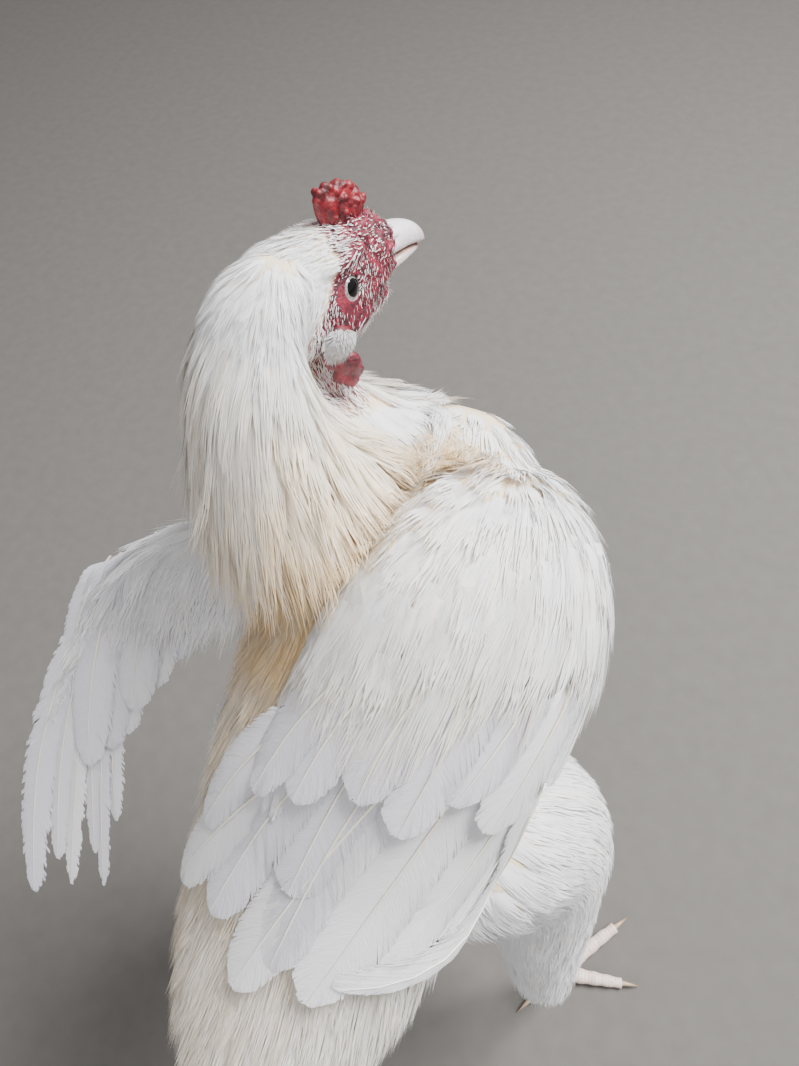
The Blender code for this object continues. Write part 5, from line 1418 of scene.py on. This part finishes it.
    def make_shafts(self, name):
        count = len(self.shafts)
        tubes = np.array([shaft[0] for shaft in self.shafts])
        _, rows, around, _ = tubes.shape
        pattern = []
        for k in range(rows - 1):
            for i in range(around):
                j = (i + 1) % around
                pattern += [k * around + i, k * around + j, (k + 1) * around + j, (k + 1) * around + i]
        corners = (np.arange(count)[:, None] * rows * around + np.array(pattern)[None]).ravel()
        sizes = np.full(len(corners) // 4, 4)
        bake = np.repeat(np.array([shaft[1] for shaft in self.shafts]), rows * around, axis=0)
        steps = np.tile(np.linspace(-1, 1, rows * around), count)
        maps = {"OFBake": bake_places(bake, 0 * steps, steps)}
        warm = np.repeat(np.array([shaft[3] for shaft in self.shafts]), rows * around)
        fade = np.tile(np.repeat(np.linspace(0.55, 0.0, rows), around), count)
        values = {"warmth": np.clip(warm + fade, 0, 1)}
        joined(name, tubes.reshape(-1, 3), corners, sizes, maps, values, QUILL)


def mix(first, last, share):
    return tuple(a + (b - a) * share for a, b in zip(first, last))


def trunk_line(root, tip, bow=0.0, late=1.0):
    """A line over the trunk and its folded wing from root to tip, both (along, angle in degrees).

    It bows round the body, the more towards its tip the larger late is.
    """
    def line(s, across):
        along, angle = mix(root, tip, s)
        angle = radians(angle + bow * sin(pi * s**late))
        near = trunk_places(np.array([along, along, along]), np.array([angle - 0.05, angle, angle + 0.05]))
        girth = float(np.linalg.norm(near[2] - near[0])) / 0.1
        step_along = tip[0] - root[0]
        step_round = radians(tip[1] - root[1]) * girth
        length = (step_along**2 + step_round**2) ** 0.5
        along += step_round / length * across
        angle -= step_along / length * across / max(girth, 0.02)
        base, over = trunk_places(np.array([along, along]), np.array([angle, angle]), np.array([0.0, 0.01]))
        out = unit(over - base)
        return base + out * float(pad_height(np.array(along), np.array(angle))), out
    return line


def flat_line(root, tip, droop, bow=0.0):
    """A line in the open wing from root to tip, both (along, out, left), sagging towards the tip."""
    def line(s, across):
        along, out, left = mix(root, tip, s)
        step_along = tip[0] - root[0]
        step_left = tip[2] - root[2]
        length = (step_along**2 + step_left**2) ** 0.5
        across += bow * sin(pi * s)
        along += step_left / length * across
        left -= step_along / length * across
        return np.array(body_place(along, out - droop * s * s, left)), np.array(OUT)
    return line


def slope_to_next(line, neighbour):
    """How a shingled feather tilts: a barb's thickness over the way to its neighbour."""
    spacing = np.mean([np.linalg.norm(line(s, 0.0)[0] - neighbour(s, 0.0)[0]) for s in (0.3, 0.6, 0.9)])
    return 0.0009 / max(spacing, 0.003)


# Flights of the folded right wing, from the outer edge to the back: root and tip as (along, angle),
# how far it bows round the body in degrees, and half width
RIGHT_FLIGHTS = (
    ((0.122, -112.0), (0.034, -104.0), -2.0, 0.0130),
    ((0.104, -105.0), (0.014, -95.0), -4.0, 0.0125),
    ((0.088, -96.0), (0.002, -80.0), -4.0, 0.0125),
    ((0.105, -78.0), (-0.004, -62.0), -6.0, 0.0130),
    ((0.112, -62.0), (-0.016, -42.0), -6.0, 0.0155),
    ((0.122, -45.0), (-0.040, -18.5), -2.0, 0.0190),
    ((0.110, -30.0), (-0.050, 9.0), 1.0, 0.0165),
    ((0.104, -22.0), (-0.030, -3.0), 2.0, 0.0150),
    ((0.110, -16.0), (0.009, -2.0), 1.0, 0.0165),
    ((0.086, -4.0), (-0.024, 25.5), 2.0, 0.0155),
    ((0.076, 3.0), (-0.027, 50.0), 0.0, 0.0150),
    ((0.092, 9.0), (0.012, 39.0), 2.0, 0.0130),
)
# The outermost flight, which curves in under the others' tips but lies free over them
CURVED_FLIGHT = ((0.090, -79.0), (-0.027, -26.5), -46.0, 0.0150)
# Its coverts: the same
RIGHT_COVERTS = (
    ((0.142, -106.0), (0.082, -107.0), 0.0, 0.0125),
    ((0.142, -92.0), (0.074, -91.0), 0.0, 0.0130),
    ((0.141, -77.0), (0.084, -72.0), 0.0, 0.0135),
    ((0.140, -62.0), (0.064, -53.0), 0.0, 0.0160),
    ((0.142, -50.0), (0.078, -38.0), 0.0, 0.0140),
    ((0.144, -37.0), (0.058, -27.0), 1.0, 0.0145),
    ((0.138, -25.0), (0.068, -14.0), 2.0, 0.0130),
    ((0.130, -13.0), (0.056, 3.0), 2.0, 0.0135),
    ((0.122, -3.0), (0.048, 17.0), 2.0, 0.0125),
)
# Feathers of the open left wing, from the outer edge in: root and tip as (along, left), how far it
# bows outwards, half width and height
LEFT_PRIMARIES = (
    ((0.076, 0.1655), (-0.123, 0.1690), 0.0150, 0.0112, 0.0020),
    ((0.070, 0.1635), (-0.096, 0.1590), 0.0085, 0.0085, 0.0006),
    ((0.070, 0.1610), (-0.108, 0.1470), 0.0050, 0.0062, -0.0006),
    ((0.070, 0.1600), (-0.082, 0.1370), 0.0050, 0.0062, -0.0016),
    ((0.070, 0.1575), (-0.100, 0.1270), 0.0040, 0.0055, -0.0028),
    ((0.074, 0.1550), (-0.058, 0.1300), 0.0030, 0.0070, -0.0038),
)
LEFT_SECONDARIES = (
    ((0.084, 0.1560), (-0.026, 0.1500), 0.0040, 0.0140, 0.0052),
    ((0.088, 0.1480), (-0.012, 0.1400), 0.0030, 0.0125, 0.0030),
    ((0.096, 0.1420), (0.000, 0.1330), 0.0030, 0.0120, 0.0018),
    ((0.106, 0.1330), (0.018, 0.1300), 0.0030, 0.0145, 0.0060),
    ((0.112, 0.1250), (0.034, 0.1220), 0.0020, 0.0120, 0.0034),
    ((0.118, 0.1170), (0.052, 0.1160), 0.0020, 0.0120, 0.0022),
    ((0.122, 0.1080), (0.072, 0.1080), 0.0010, 0.0120, 0.0038),
    ((0.126, 0.1000), (0.086, 0.0980), 0.0010, 0.0110, 0.0024),
)
LEFT_COVERTS = (
    ((0.096, 0.1640), (0.020, 0.1740), 0.0040, 0.0095, 0.0050),
    ((0.100, 0.1580), (0.030, 0.1640), 0.0030, 0.0110, 0.0066),
    ((0.108, 0.1500), (0.038, 0.1500), 0.0030, 0.0115, 0.0078),
    ((0.118, 0.1400), (0.056, 0.1400), 0.0020, 0.0115, 0.0082),
    ((0.126, 0.1300), (0.070, 0.1290), 0.0020, 0.0110, 0.0076),
    ((0.132, 0.1200), (0.082, 0.1180), 0.0020, 0.0110, 0.0068),
)


def right_wing():
    """The folded wing's flights and coverts, those nearer the back lying over the others."""
    quills = Quills(41)
    for rows, base, tip_rise, widths, barbs in (
        (RIGHT_FLIGHTS, 0.0020, 0.0012, VANE_WIDTHS, 84), (RIGHT_COVERTS, 0.0052, 0.0026, COVERT_WIDTHS, 54),
    ):
        lines = [trunk_line(root, tip, bow) for root, tip, bow, _ in rows]
        for i, (line, row) in enumerate(zip(lines, rows)):
            neighbour = lines[i + 1] if i + 1 < len(lines) else lines[i - 1]
            height = base + 0.00025 * i
            quills.feather(line, row[3], widths, rises=(0.0, height, height + tip_rise),
                           rise_at=(0.0, 0.12, 1.0), slope=-slope_to_next(line, neighbour), barbs=barbs,
                           splits=1, ragged=0.10, warmth=0.03, shaft=0.0010)
    root, tip, bow, half_width = CURVED_FLIGHT
    quills.feather(trunk_line(root, tip, bow, 2.0), half_width, rises=(0.0, 0.0062, 0.0056),
                   rise_at=(0.0, 0.12, 1.0), barbs=96, splits=3, ragged=0.14, warmth=0.0, uneven=0.25)
    quills.make_vanes("right_wing_vanes", "wing_right")
    quills.make_shafts("right_wing_shafts")


def left_wing():
    """The half open wing: narrow flights with jagged tips on the hand, broad rounded ones on the arm."""
    for name, seed, tiers in (
        ("hand", 43, ((LEFT_PRIMARIES, VANE_WIDTHS, 76, 0.34),)),
        ("arm", 44, ((LEFT_SECONDARIES, COVERT_WIDTHS, 64, 0.12), (LEFT_COVERTS, COVERT_WIDTHS, 48, 0.12))),
    ):
        quills = Quills(seed)
        for rows, widths, barbs, ragged in tiers:
            for (along, left), (tip_along, tip_left), bow, half_width, height in rows:
                line = flat_line((along, 0.002, left), (tip_along, 0.000, tip_left), 0.004, bow)
                quills.feather(line, half_width, widths, rises=(0.0, height, height), rise_at=(0.0, 0.2, 1.0),
                               slope=0.03, barbs=barbs, splits=2, ragged=ragged, warmth=0.03, shaft=0.0008)
        quills.make_vanes(f"left_{name}_vanes", f"wing_left_{name}")
        quills.make_shafts(f"left_{name}_shafts")


# Long feathers over the tail: length, curve, half width, turn to the side
SICKLES = (
    (0.200, 1.00, 0.0085, radians(3.0)),
    (0.178, 0.85, 0.0080, radians(9.0)),
    (0.150, 0.60, 0.0075, radians(16.0)),
)
TAIL_ROOF = radians(35.0)


def tail_line(start, fan, roof, length, curve):
    """A line from the tail's root: roof tilts its face, fan turns it in that face, curve bends it down."""
    out = Matrix.Rotation(roof, 3, TAIL_BACK) @ TAIL_UP
    ahead = Matrix.Rotation(fan, 3, out) @ TAIL_BACK
    side = ahead.cross(out).normalized()

    def line(s, across):
        reach = ahead * (length * s) + side * across
        return np.array(start + reach - TAIL_UP * (curve * reach.dot(TAIL_BACK) ** 2)), np.array(out)
    return line


def tail():
    """The tail's roof of feathers, with the narrow curved ones over it."""
    quills = Quills(47)
    start = body_place(*TAIL_ROOT, 0.0)
    for sign in (-1, 1):
        for i in range(6):
            place = (start + TAIL_BACK * 0.022 + LEFT * (sign * 0.0095)
                     + TAIL_UP * (0.006 - 0.0014 * i / cos(TAIL_ROOF)))
            fan = -sign * radians(2.5 + 3.4 * i)
            line = tail_line(place, fan, sign * TAIL_ROOF, 0.175 * (1 - 0.04 * i), 1.1)
            quills.feather(line, 0.0130, barbs=48, splits=3, warmth=0.15)
        for k, (length, curve, half_width, fan) in enumerate(SICKLES):
            place = (start + TAIL_BACK * 0.010 + LEFT * (sign * (0.0085 + 0.0020 * k))
                     + TAIL_UP * (0.0080 + 0.0014 * k))
            line = tail_line(place, -sign * fan, sign * TAIL_ROOF, length, curve)
            quills.feather(line, half_width, POINTED_WIDTHS, barbs=44, splits=3, warmth=0.35, ragged=0.15)
    quills.make_vanes("tail_vanes", "tail")
    quills.make_shafts("tail_shafts")


right_wing()
left_wing()
tail()


# Comb, bill, ears and eyes

def comb():
    """Knobbly rounded lobes in a fan on a smoother base."""
    place = HEAD @ Matrix.Translation(COMB_PLACE) @ Matrix.Rotation(COMB_LEAN, 4, "Y")
    turn = place.to_3x3()
    bm = bmesh.new()
    add_ball(bm, place.translation, (0.0092, 0.0046, 0.0050), turn)
    draw = np.random.default_rng(51)
    for row, ahead in zip(COMB_LOBES[:5], COMB_LOBES[1:6]):
        # the web that fills the fan between two lobes
        foot, tip, height = ((row[k] + ahead[k]) / 2 for k in (0, 1, 2))
        axis = Vector((tip - foot, 0.0, height))
        lean = Matrix.Rotation(atan2(axis.x, axis.z), 3, "Y")
        add_ball(bm, place @ (Vector((foot, 0.0, 0.0)) + axis * 0.42), (0.0033, 0.0034, axis.length * 0.44),
                 turn @ lean, 16, 12)
    for foot, tip, height, across, size in COMB_LOBES:
        axis = Vector((tip - foot, 0.0, height))
        lean = Matrix.Rotation(atan2(axis.x, axis.z), 3, "Y")
        add_ball(bm, place @ (Vector((foot, across, 0.0)) + axis * 0.46),
                 (size, size * 0.85, axis.length * 0.50), turn @ lean, 20, 14)
        # rounded beads round the tip of each lobe, and a few flat ones lower down
        for k in range(8):
            share = 0.74 + 0.16 * draw.random() if k < 5 else 0.30 + 0.45 * draw.random()
            angle = 2 * pi * draw.random()
            knob = Vector((foot, across, 0.0)) + axis * share
            knob += lean @ Vector((cos(angle), 0.85 * sin(angle), 0.0)) * (size * (0.34 if k < 5 else 0.55))
            add_ball(bm, place @ knob, (size * (0.52 + 0.16 * draw.random()),) * 3, turn, 12, 8)
    obj = from_bmesh("comb_lobes", bm, COMB_SKIN)
    melt(obj, *COMB_MELT)
    finish_piece(obj, ("comb",))


def earlobes():
    """Wrinkled folds of dark red skin below and behind each ear."""
    draw = np.random.default_rng(53)
    for word, side in SIDES:
        name = f"earlobe_{word}"
        bm = bmesh.new()
        for forward, out, up, a, b, c in LOBE_FOLDS:
            add_ball(bm, HEAD @ Vector((forward, side * out, up)), (a, b, c), HEAD_AXES, 16, 12)
            for _ in range(5):
                t = 2 * pi * draw.random()
                r = 0.75 * draw.random() ** 0.5
                swell = out + b * 0.75 * (1 - r * r)
                knob = Vector((forward + a * r * cos(t), side * swell, up + c * r * sin(t)))
                size = 0.0009 + 0.0006 * draw.random()
                add_ball(bm, HEAD @ knob, (size, size * 0.7, size * 1.8), HEAD_AXES, 8, 6)
        obj = from_bmesh(name + "_folds", bm, LOBE_SKIN)
        melt(obj, *LOBE_MELT)
        finish_piece(obj, (name,))


def ear_patches():
    """A domed pad over each ear, closely set with short grey-white hairs."""
    draw = np.random.default_rng(57)
    axes = np.array(HEAD_AXES)
    steps = np.linspace(0, 1, 4)
    for word, side in SIDES:
        name = f"ear_patch_{word}"
        centre = HEAD @ Vector((EAR_PLACE[0], side * EAR_PLACE[1], EAR_PLACE[2]))
        bm = bmesh.new()
        add_ball(bm, centre, (EAR_RADIUS, EAR_DOME, EAR_RADIUS), HEAD_AXES, 32, 20)
        obj = from_bmesh(name + "_pad", bm, LOBE_SKIN)
        finish_piece(obj, (name,))
        angle = 2 * pi * draw.random(EAR_HAIRS)
        share = draw.random(EAR_HAIRS) ** 0.5
        lengths = 0.0030 * (1 + 0.25 * draw.normal(size=EAR_HAIRS))
        paths, outs = [], []
        for a, r, length in zip(angle, share, lengths):
            # the hairs start in the middle of the pad and sweep down and outward over its edge
            way = np.array((0.55 * cos(a) * r - 0.45, sin(a) * r * 0.6 - 0.75))
            way /= np.linalg.norm(way)
            x = EAR_RADIUS * r * cos(a) + way[0] * length * steps
            z = EAR_RADIUS * r * sin(a) + way[1] * length * steps
            rim = np.clip(1 - (x**2 + z**2) / EAR_RADIUS**2, 0.0, 1.0) ** 0.5
            own = np.stack([x, side * EAR_DOME * rim, z], -1)
            paths.append(np.array(centre) + own @ axes.T)
            normal = np.stack([x / EAR_RADIUS, side * np.maximum(rim, 0.3) * 1.6, z / EAR_RADIUS], -1)
            outs.append(unit(normal) @ axes.T)
        roots = np.repeat(GROUND.places[GROUND.tree.find_nearest(centre)[2]][None], EAR_HAIRS, axis=0)
        roots = roots + 0.004 * (draw.random((EAR_HAIRS, 2)) - 0.5)
        tufts(name + "_hair", np.array(paths), np.array(outs), roots, lengths, np.full(EAR_HAIRS, 0.00022),
              np.full(EAR_HAIRS, 0.05), draw, strands=1, stations=4, split=0.6, lift=0.0007, rise=0.0003,
              splay=0.0, camber=0.0, material_of=EAR_HAIR)


def bill():
    """Upper and lower bill: smooth horn with a hooked tip, parted by the line of the mouth."""
    for name, rows in (("bill_upper", UPPER_BILL), ("bill_lower", LOWER_BILL)):
        upper = name == "bill_upper"
        rings = []
        for forward, half, top, bottom in spline(rows, 40):
            ring = []
            for i in range(40):
                t = 2 * pi * i / 40
                # the edges that meet are flatter than the ridge
                flat = 0.62 if (cos(t) < 0) == upper else 1.0
                shape = abs(cos(t)) ** flat * (1 if cos(t) > 0 else -1)
                across = half * sin(t) * abs(sin(t)) ** -0.12 if sin(t) else 0.0
                up = 0.5 * (top + bottom) + 0.5 * (top - bottom) * shape
                ring.append(HEAD @ Vector((forward, across, up)))
            rings.append(ring)
        bm = bmesh.new()
        add_loft(bm, rings)
        obj = from_bmesh(name + "_horn", bm, BILL_HORN)
        if upper:
            sink_nostrils(obj)
        own = own_places(obj)
        # tan at the tip and along the mouth, the lower bill more so
        tip = np.clip((own[:, 0] - 0.041) / 0.007, 0, 1) * 0.55
        edge = rows_edge(own, rows, upper)
        set_values(obj, "warmth", np.clip(tip + 0.55 * edge + (0.0 if upper else 0.2), 0, 1))
        finish_piece(obj, (name,))


def rows_edge(own, rows, upper):
    """How near each place is to the bill's cutting edge, from 0 to 1."""
    fine = spline(rows, 41)
    line = np.interp(own[:, 0], fine[:, 0], fine[:, 3] if upper else fine[:, 2])
    return np.exp(-((own[:, 2] - line) / 0.0016) ** 2)


def sink_nostrils(obj):
    """A slit on each side of the upper bill, under a thin lip."""
    inverse = HEAD.inverted()
    forward, across, up = NOSTRIL
    for vertex in obj.data.vertices:
        place = inverse @ vertex.co
        a = (place.x - forward) / 0.0024
        b = (place.z - up - 0.25 * (place.x - forward)) / 0.0009
        hollow = np.exp(-(a * a + b * b))
        vertex.co -= HEAD_AXES @ Vector((0.0, (1 if place.y > 0 else -1) * 0.0022 * float(hollow), 0.0))


def eyes():
    """Eyeballs with rings round their own axis, for pupil and iris, and a raised clear cornea."""
    points = 48
    for word, side in SIDES:
        look = HEAD_AXES @ eye_look(side)
        centre = HEAD @ eye_middle(side)
        axis, across, up = (look @ Vector(way) for way in ((0, side, 0), (1, 0, 0), (0, 0, 1)))
        bm = bmesh.new()
        rings = []
        for angle in EYE_RINGS:
            t = radians(angle)
            bulge = EYE_RADIUS * (1.0 + 0.045 * max(0.0, 1.0 - (angle / CORNEA_END) ** 2))
            reach = max(sin(t), 1e-4) * EYE_RADIUS
            rings.append([
                bm.verts.new(centre + axis * (cos(t) * bulge) + across * (reach * cos(turn))
                             + up * (reach * sin(turn)))
                for turn in (2 * pi * i / points for i in range(points))
            ])
        for low, high in zip(rings, rings[1:]):
            for i in range(points):
                j = (i + 1) % points
                bm.faces.new((low[i], low[j], high[j], high[i]))
        bm.faces.new(rings[0])
        bm.faces.new(rings[-1])
        obj = from_bmesh(f"eye_{word}_ball", bm, EYE)
        set_values(obj, "ring", np.repeat(np.array(EYE_RINGS, np.float32), points))
        finish_piece(obj, (f"eye_{word}",))


def lid_rims():
    """The thin pale edge of the lids round each eye."""
    for word, side in SIDES:
        look = eye_look(side)
        outward = look @ Vector((0.0, side, 0.0))
        middle = eye_middle(side) + outward * 0.0062
        bm = bmesh.new()
        rows = []
        for i in range(64):
            turn = 2 * pi * i / 64
            radial = look @ Vector((cos(turn), 0.0, sin(turn)))
            centre = middle + look @ Vector((0.0046 * cos(turn), 0.0, 0.0050 * sin(turn)))
            rows.append([
                bm.verts.new(HEAD @ (centre + radial * (0.00052 * cos(t)) + outward * (0.00045 * sin(t))))
                for t in np.linspace(0.0, 2 * pi, 10, endpoint=False)
            ])
        for i in range(64):
            ahead = rows[(i + 1) % 64]
            for j in range(10):
                k = (j + 1) % 10
                bm.faces.new((rows[i][j], ahead[j], ahead[k], rows[i][k]))
        finish_piece(from_bmesh(f"lid_rim_{word}", bm, LID_SKIN))


comb()
earlobes()
ear_patches()
bill()
eyes()
lid_rims()


# Legs and feet

def leg_frame(side):
    """Hock, ball of the foot, and the shank's own directions: down, front, across; then the way ahead."""
    _, _, hock, ball, turn = LEGS[side]
    hock, ball = Vector(hock) + SHIFT, Vector(ball) + SHIFT
    down = (ball - hock).normalized()
    ahead = Vector((-sin(turn), -cos(turn), 0.0))
    front = (ahead - down * ahead.dot(down)).normalized()
    return hock, ball, down, front, down.cross(front), ahead


def shanks():
    """Scaled shanks with plates like shingles down the front and a spur behind."""
    for side in LEGS:
        hock, ball, down, front, across, _ = leg_frame(side)
        start = Vector(thigh_rows(side, 30)[-1][:3]) + down * 0.0006
        end = ball - down * (BALL_RADIUS * 0.45)
        rows, share = [], []
        for k in range(SCUTES * 6 + 1):
            t = k / (SCUTES * 6)
            centre = start.lerp(end, t)
            swell = HOCK_RADIUS * max(0.0, 1.0 - t / 0.16) ** 0.7
            radius = max(SHANK_RADIUS * (1.0 + 0.12 * (2 * t - 1) ** 2), swell)
            step = (k % 6) / 6
            ring = []
            for i in range(36):
                turn = 2 * pi * i / 36
                plate = min(max(sin(turn) * 1.6, 0.0), 1.0)
                rise = 0.00075 * plate * step**0.7
                ring.append(centre + across * ((radius * 0.86 + 0.4 * rise) * cos(turn))
                            + front * ((radius + rise) * sin(turn)))
                share.append(plate if step > 0.05 else 0.0)
            rows.append(ring)
        bm = bmesh.new()
        add_loft(bm, rows)
        obj = from_bmesh(f"shank_{side}_scales", bm, SCALES)
        # 1 is a smooth plate, 0 is skin with small round scales
        set_values(obj, "warmth", share + [0.0, 0.0])
        finish_piece(obj, (f"shank_{side}",))
        spur(side, hock, ball, down, front, across)


def spur(side, hock, ball, down, front, across):
    sign = 1.0 if side == "left" else -1.0
    if across.x * sign > 0:
        across = -across
    out = (across * 0.75 - front * 0.66).normalized()
    place = hock.lerp(ball, 0.62)
    rows = []
    for t in np.linspace(0.0, 1.0, 14):
        rows.append((*(place + out * (SHANK_RADIUS * 0.6 + SPUR_LENGTH * t) - down * (0.002 * t * t)),
                     max(0.0046 * (1.0 - t) ** 0.7, 0.0005)))
    bm = bmesh.new()
    add_loft(bm, tube_rings(rows, 24, down))
    obj = from_bmesh(f"spur_{side}_horn", bm, CLAW_HORN)
    set_values(obj, "warmth", np.linspace(0.15, 0.9, len(obj.data.vertices)))
    finish_piece(obj, (f"spur_{side}",))


def feet():
    """The ball of each foot, its toes with plates on top and pads beneath, and the claws."""
    for side in LEGS:
        _, ball, _, _, _, ahead = leg_frame(side)
        sign = 1.0 if side == "left" else -1.0
        bm = bmesh.new()
        add_ball(bm, ball, (BALL_RADIUS,) * 3, Matrix.Identity(3), 32, 24)
        obj = from_bmesh(f"foot_{side}_ball", bm, SCALES)
        for vertex in obj.data.vertices:
            vertex.co.z = max(vertex.co.z, 0.0)
        set_values(obj, "warmth", np.zeros(len(obj.data.vertices)))
        finish_piece(obj, (f"foot_{side}",))
        for name, angle, length, radius in TOES:
            direction = Matrix.Rotation(radians(sign * angle), 3, "Z") @ ahead
            toe_and_claw(side, name, ball, direction, length, radius)


def toe_and_claw(side, name, start, direction, length, radius):
    across = Vector((-direction.y, direction.x, 0.0))
    joints = 4 if name != "hind" else 2
    scutes = 4 * joints
    rows, share = [], []
    steps = scutes * 4
    root = BALL_RADIUS * 0.75
    for k in range(steps + 1):
        t = k / steps
        size = radius * (1.0 - 0.38 * t)
        pad = 1.0 + 0.05 * cos(2 * pi * t * joints)
        step = (k % 4) / 4
        centre = start.xy.to_3d() + direction * (root + (length - root) * t)
        centre.z = size * pad * 0.90 + 0.0012 * sin(pi * t)
        ring = []
        for i in range(24):
            turn = 2 * pi * (i + 0.5) / 24
            plate = min(max(sin(turn) * 1.7, 0.0), 1.0)
            rise = 0.0006 * plate * step**0.7
            point = centre + across * ((size * pad + 0.3 * rise) * cos(turn))
            point.z = max(point.z + (size * pad + rise) * sin(turn), 0.0)
            ring.append(point)
            share.append(plate if step > 0.05 else 0.0)
        rows.append(ring)
    bm = bmesh.new()
    add_loft(bm, rows)
    obj = from_bmesh(f"toe_{name}_{side}_scales", bm, SCALES)
    set_values(obj, "warmth", share + [0.0, 0.0])
    finish_piece(obj, (f"toe_{name}_{side}",))
    tip = start.xy.to_3d() + direction * (length - 0.002)
    base = radius * 0.62 * 0.74
    rings = []
    for t in np.linspace(0.0, 1.0, 14):
        size = max(base * (1.0 - t) ** 0.75, 0.0003)
        centre = tip + direction * ((CLAW_LENGTH + 0.002) * t)
        centre.z = base * 1.5 + 0.0030 * sin(pi * t * 0.9) - base * 0.9 * t
        rings.append([
            centre + across * (size * 0.8 * cos(turn)) + Vector((0.0, 0.0, size * 1.1 * sin(turn)))
            for turn in (2 * pi * i / 20 for i in range(20))
        ])
    bm = bmesh.new()
    add_loft(bm, rings)
    obj = from_bmesh(f"claw_{name}_{side}_horn", bm, CLAW_HORN)
    set_values(obj, "warmth", np.linspace(0.0, 0.9, len(obj.data.vertices)))
    finish_piece(obj, (f"claw_{name}_{side}",))


shanks()
feet()
finish_piece(skin_body_object, ("torso", "neck", "thigh_right", "thigh_left"))
finish_piece(skin_head_object, ("head",))


# Floor, light and camera

def studio():
    """A plain floor, a pale room round it, and the lamps."""
    bm = bmesh.new()
    bmesh.ops.create_grid(bm, x_segments=8, y_segments=8, size=FLOOR_HALF)
    from_bmesh("studio_floor", bm, floor_material())
    world = bpy.data.worlds.new("soft_room_light")
    bpy.context.scene.world = world
    world.use_nodes = True
    background = world.node_tree.nodes["Background"]
    background.inputs["Color"].default_value = linear(ROOM_COLOUR)
    background.inputs["Strength"].default_value = ROOM_STRENGTH
    for name, place, size, power in LAMPS:
        lamp = bpy.data.lights.new(name, "AREA")
        lamp.size = size
        lamp.energy = power
        obj = bpy.data.objects.new(name, lamp)
        bpy.context.scene.collection.objects.link(obj)
        obj.location = place
        obj.rotation_euler = (LAMP_AIM - Vector(place)).to_track_quat("-Z", "Y").to_euler()


def camera():
    """From above the bird's right shoulder, looking down past its head, as in the photo."""
    forward = Vector((sin(CAMERA_YAW) * cos(CAMERA_PITCH), -cos(CAMERA_YAW) * cos(CAMERA_PITCH),
                      -sin(CAMERA_PITCH)))
    right = forward.cross(Vector((0.0, 0.0, 1.0))).normalized()
    up = right.cross(forward)
    turned_right = right * cos(CAMERA_ROLL) + up * sin(CAMERA_ROLL)
    turned_up = up * cos(CAMERA_ROLL) - right * sin(CAMERA_ROLL)
    lens = bpy.data.cameras.new("photo_camera")
    lens.sensor_width = SENSOR_MM
    lens.lens = LENS_MM
    lens.clip_start = 0.02
    obj = bpy.data.objects.new("photo_camera", lens)
    bpy.context.scene.collection.objects.link(obj)
    turn = Matrix((turned_right, turned_up, -forward)).transposed().to_4x4()
    obj.matrix_world = Matrix.Translation(CAMERA_PLACE + SHIFT) @ turn
    bpy.context.scene.camera = obj


studio()
camera()
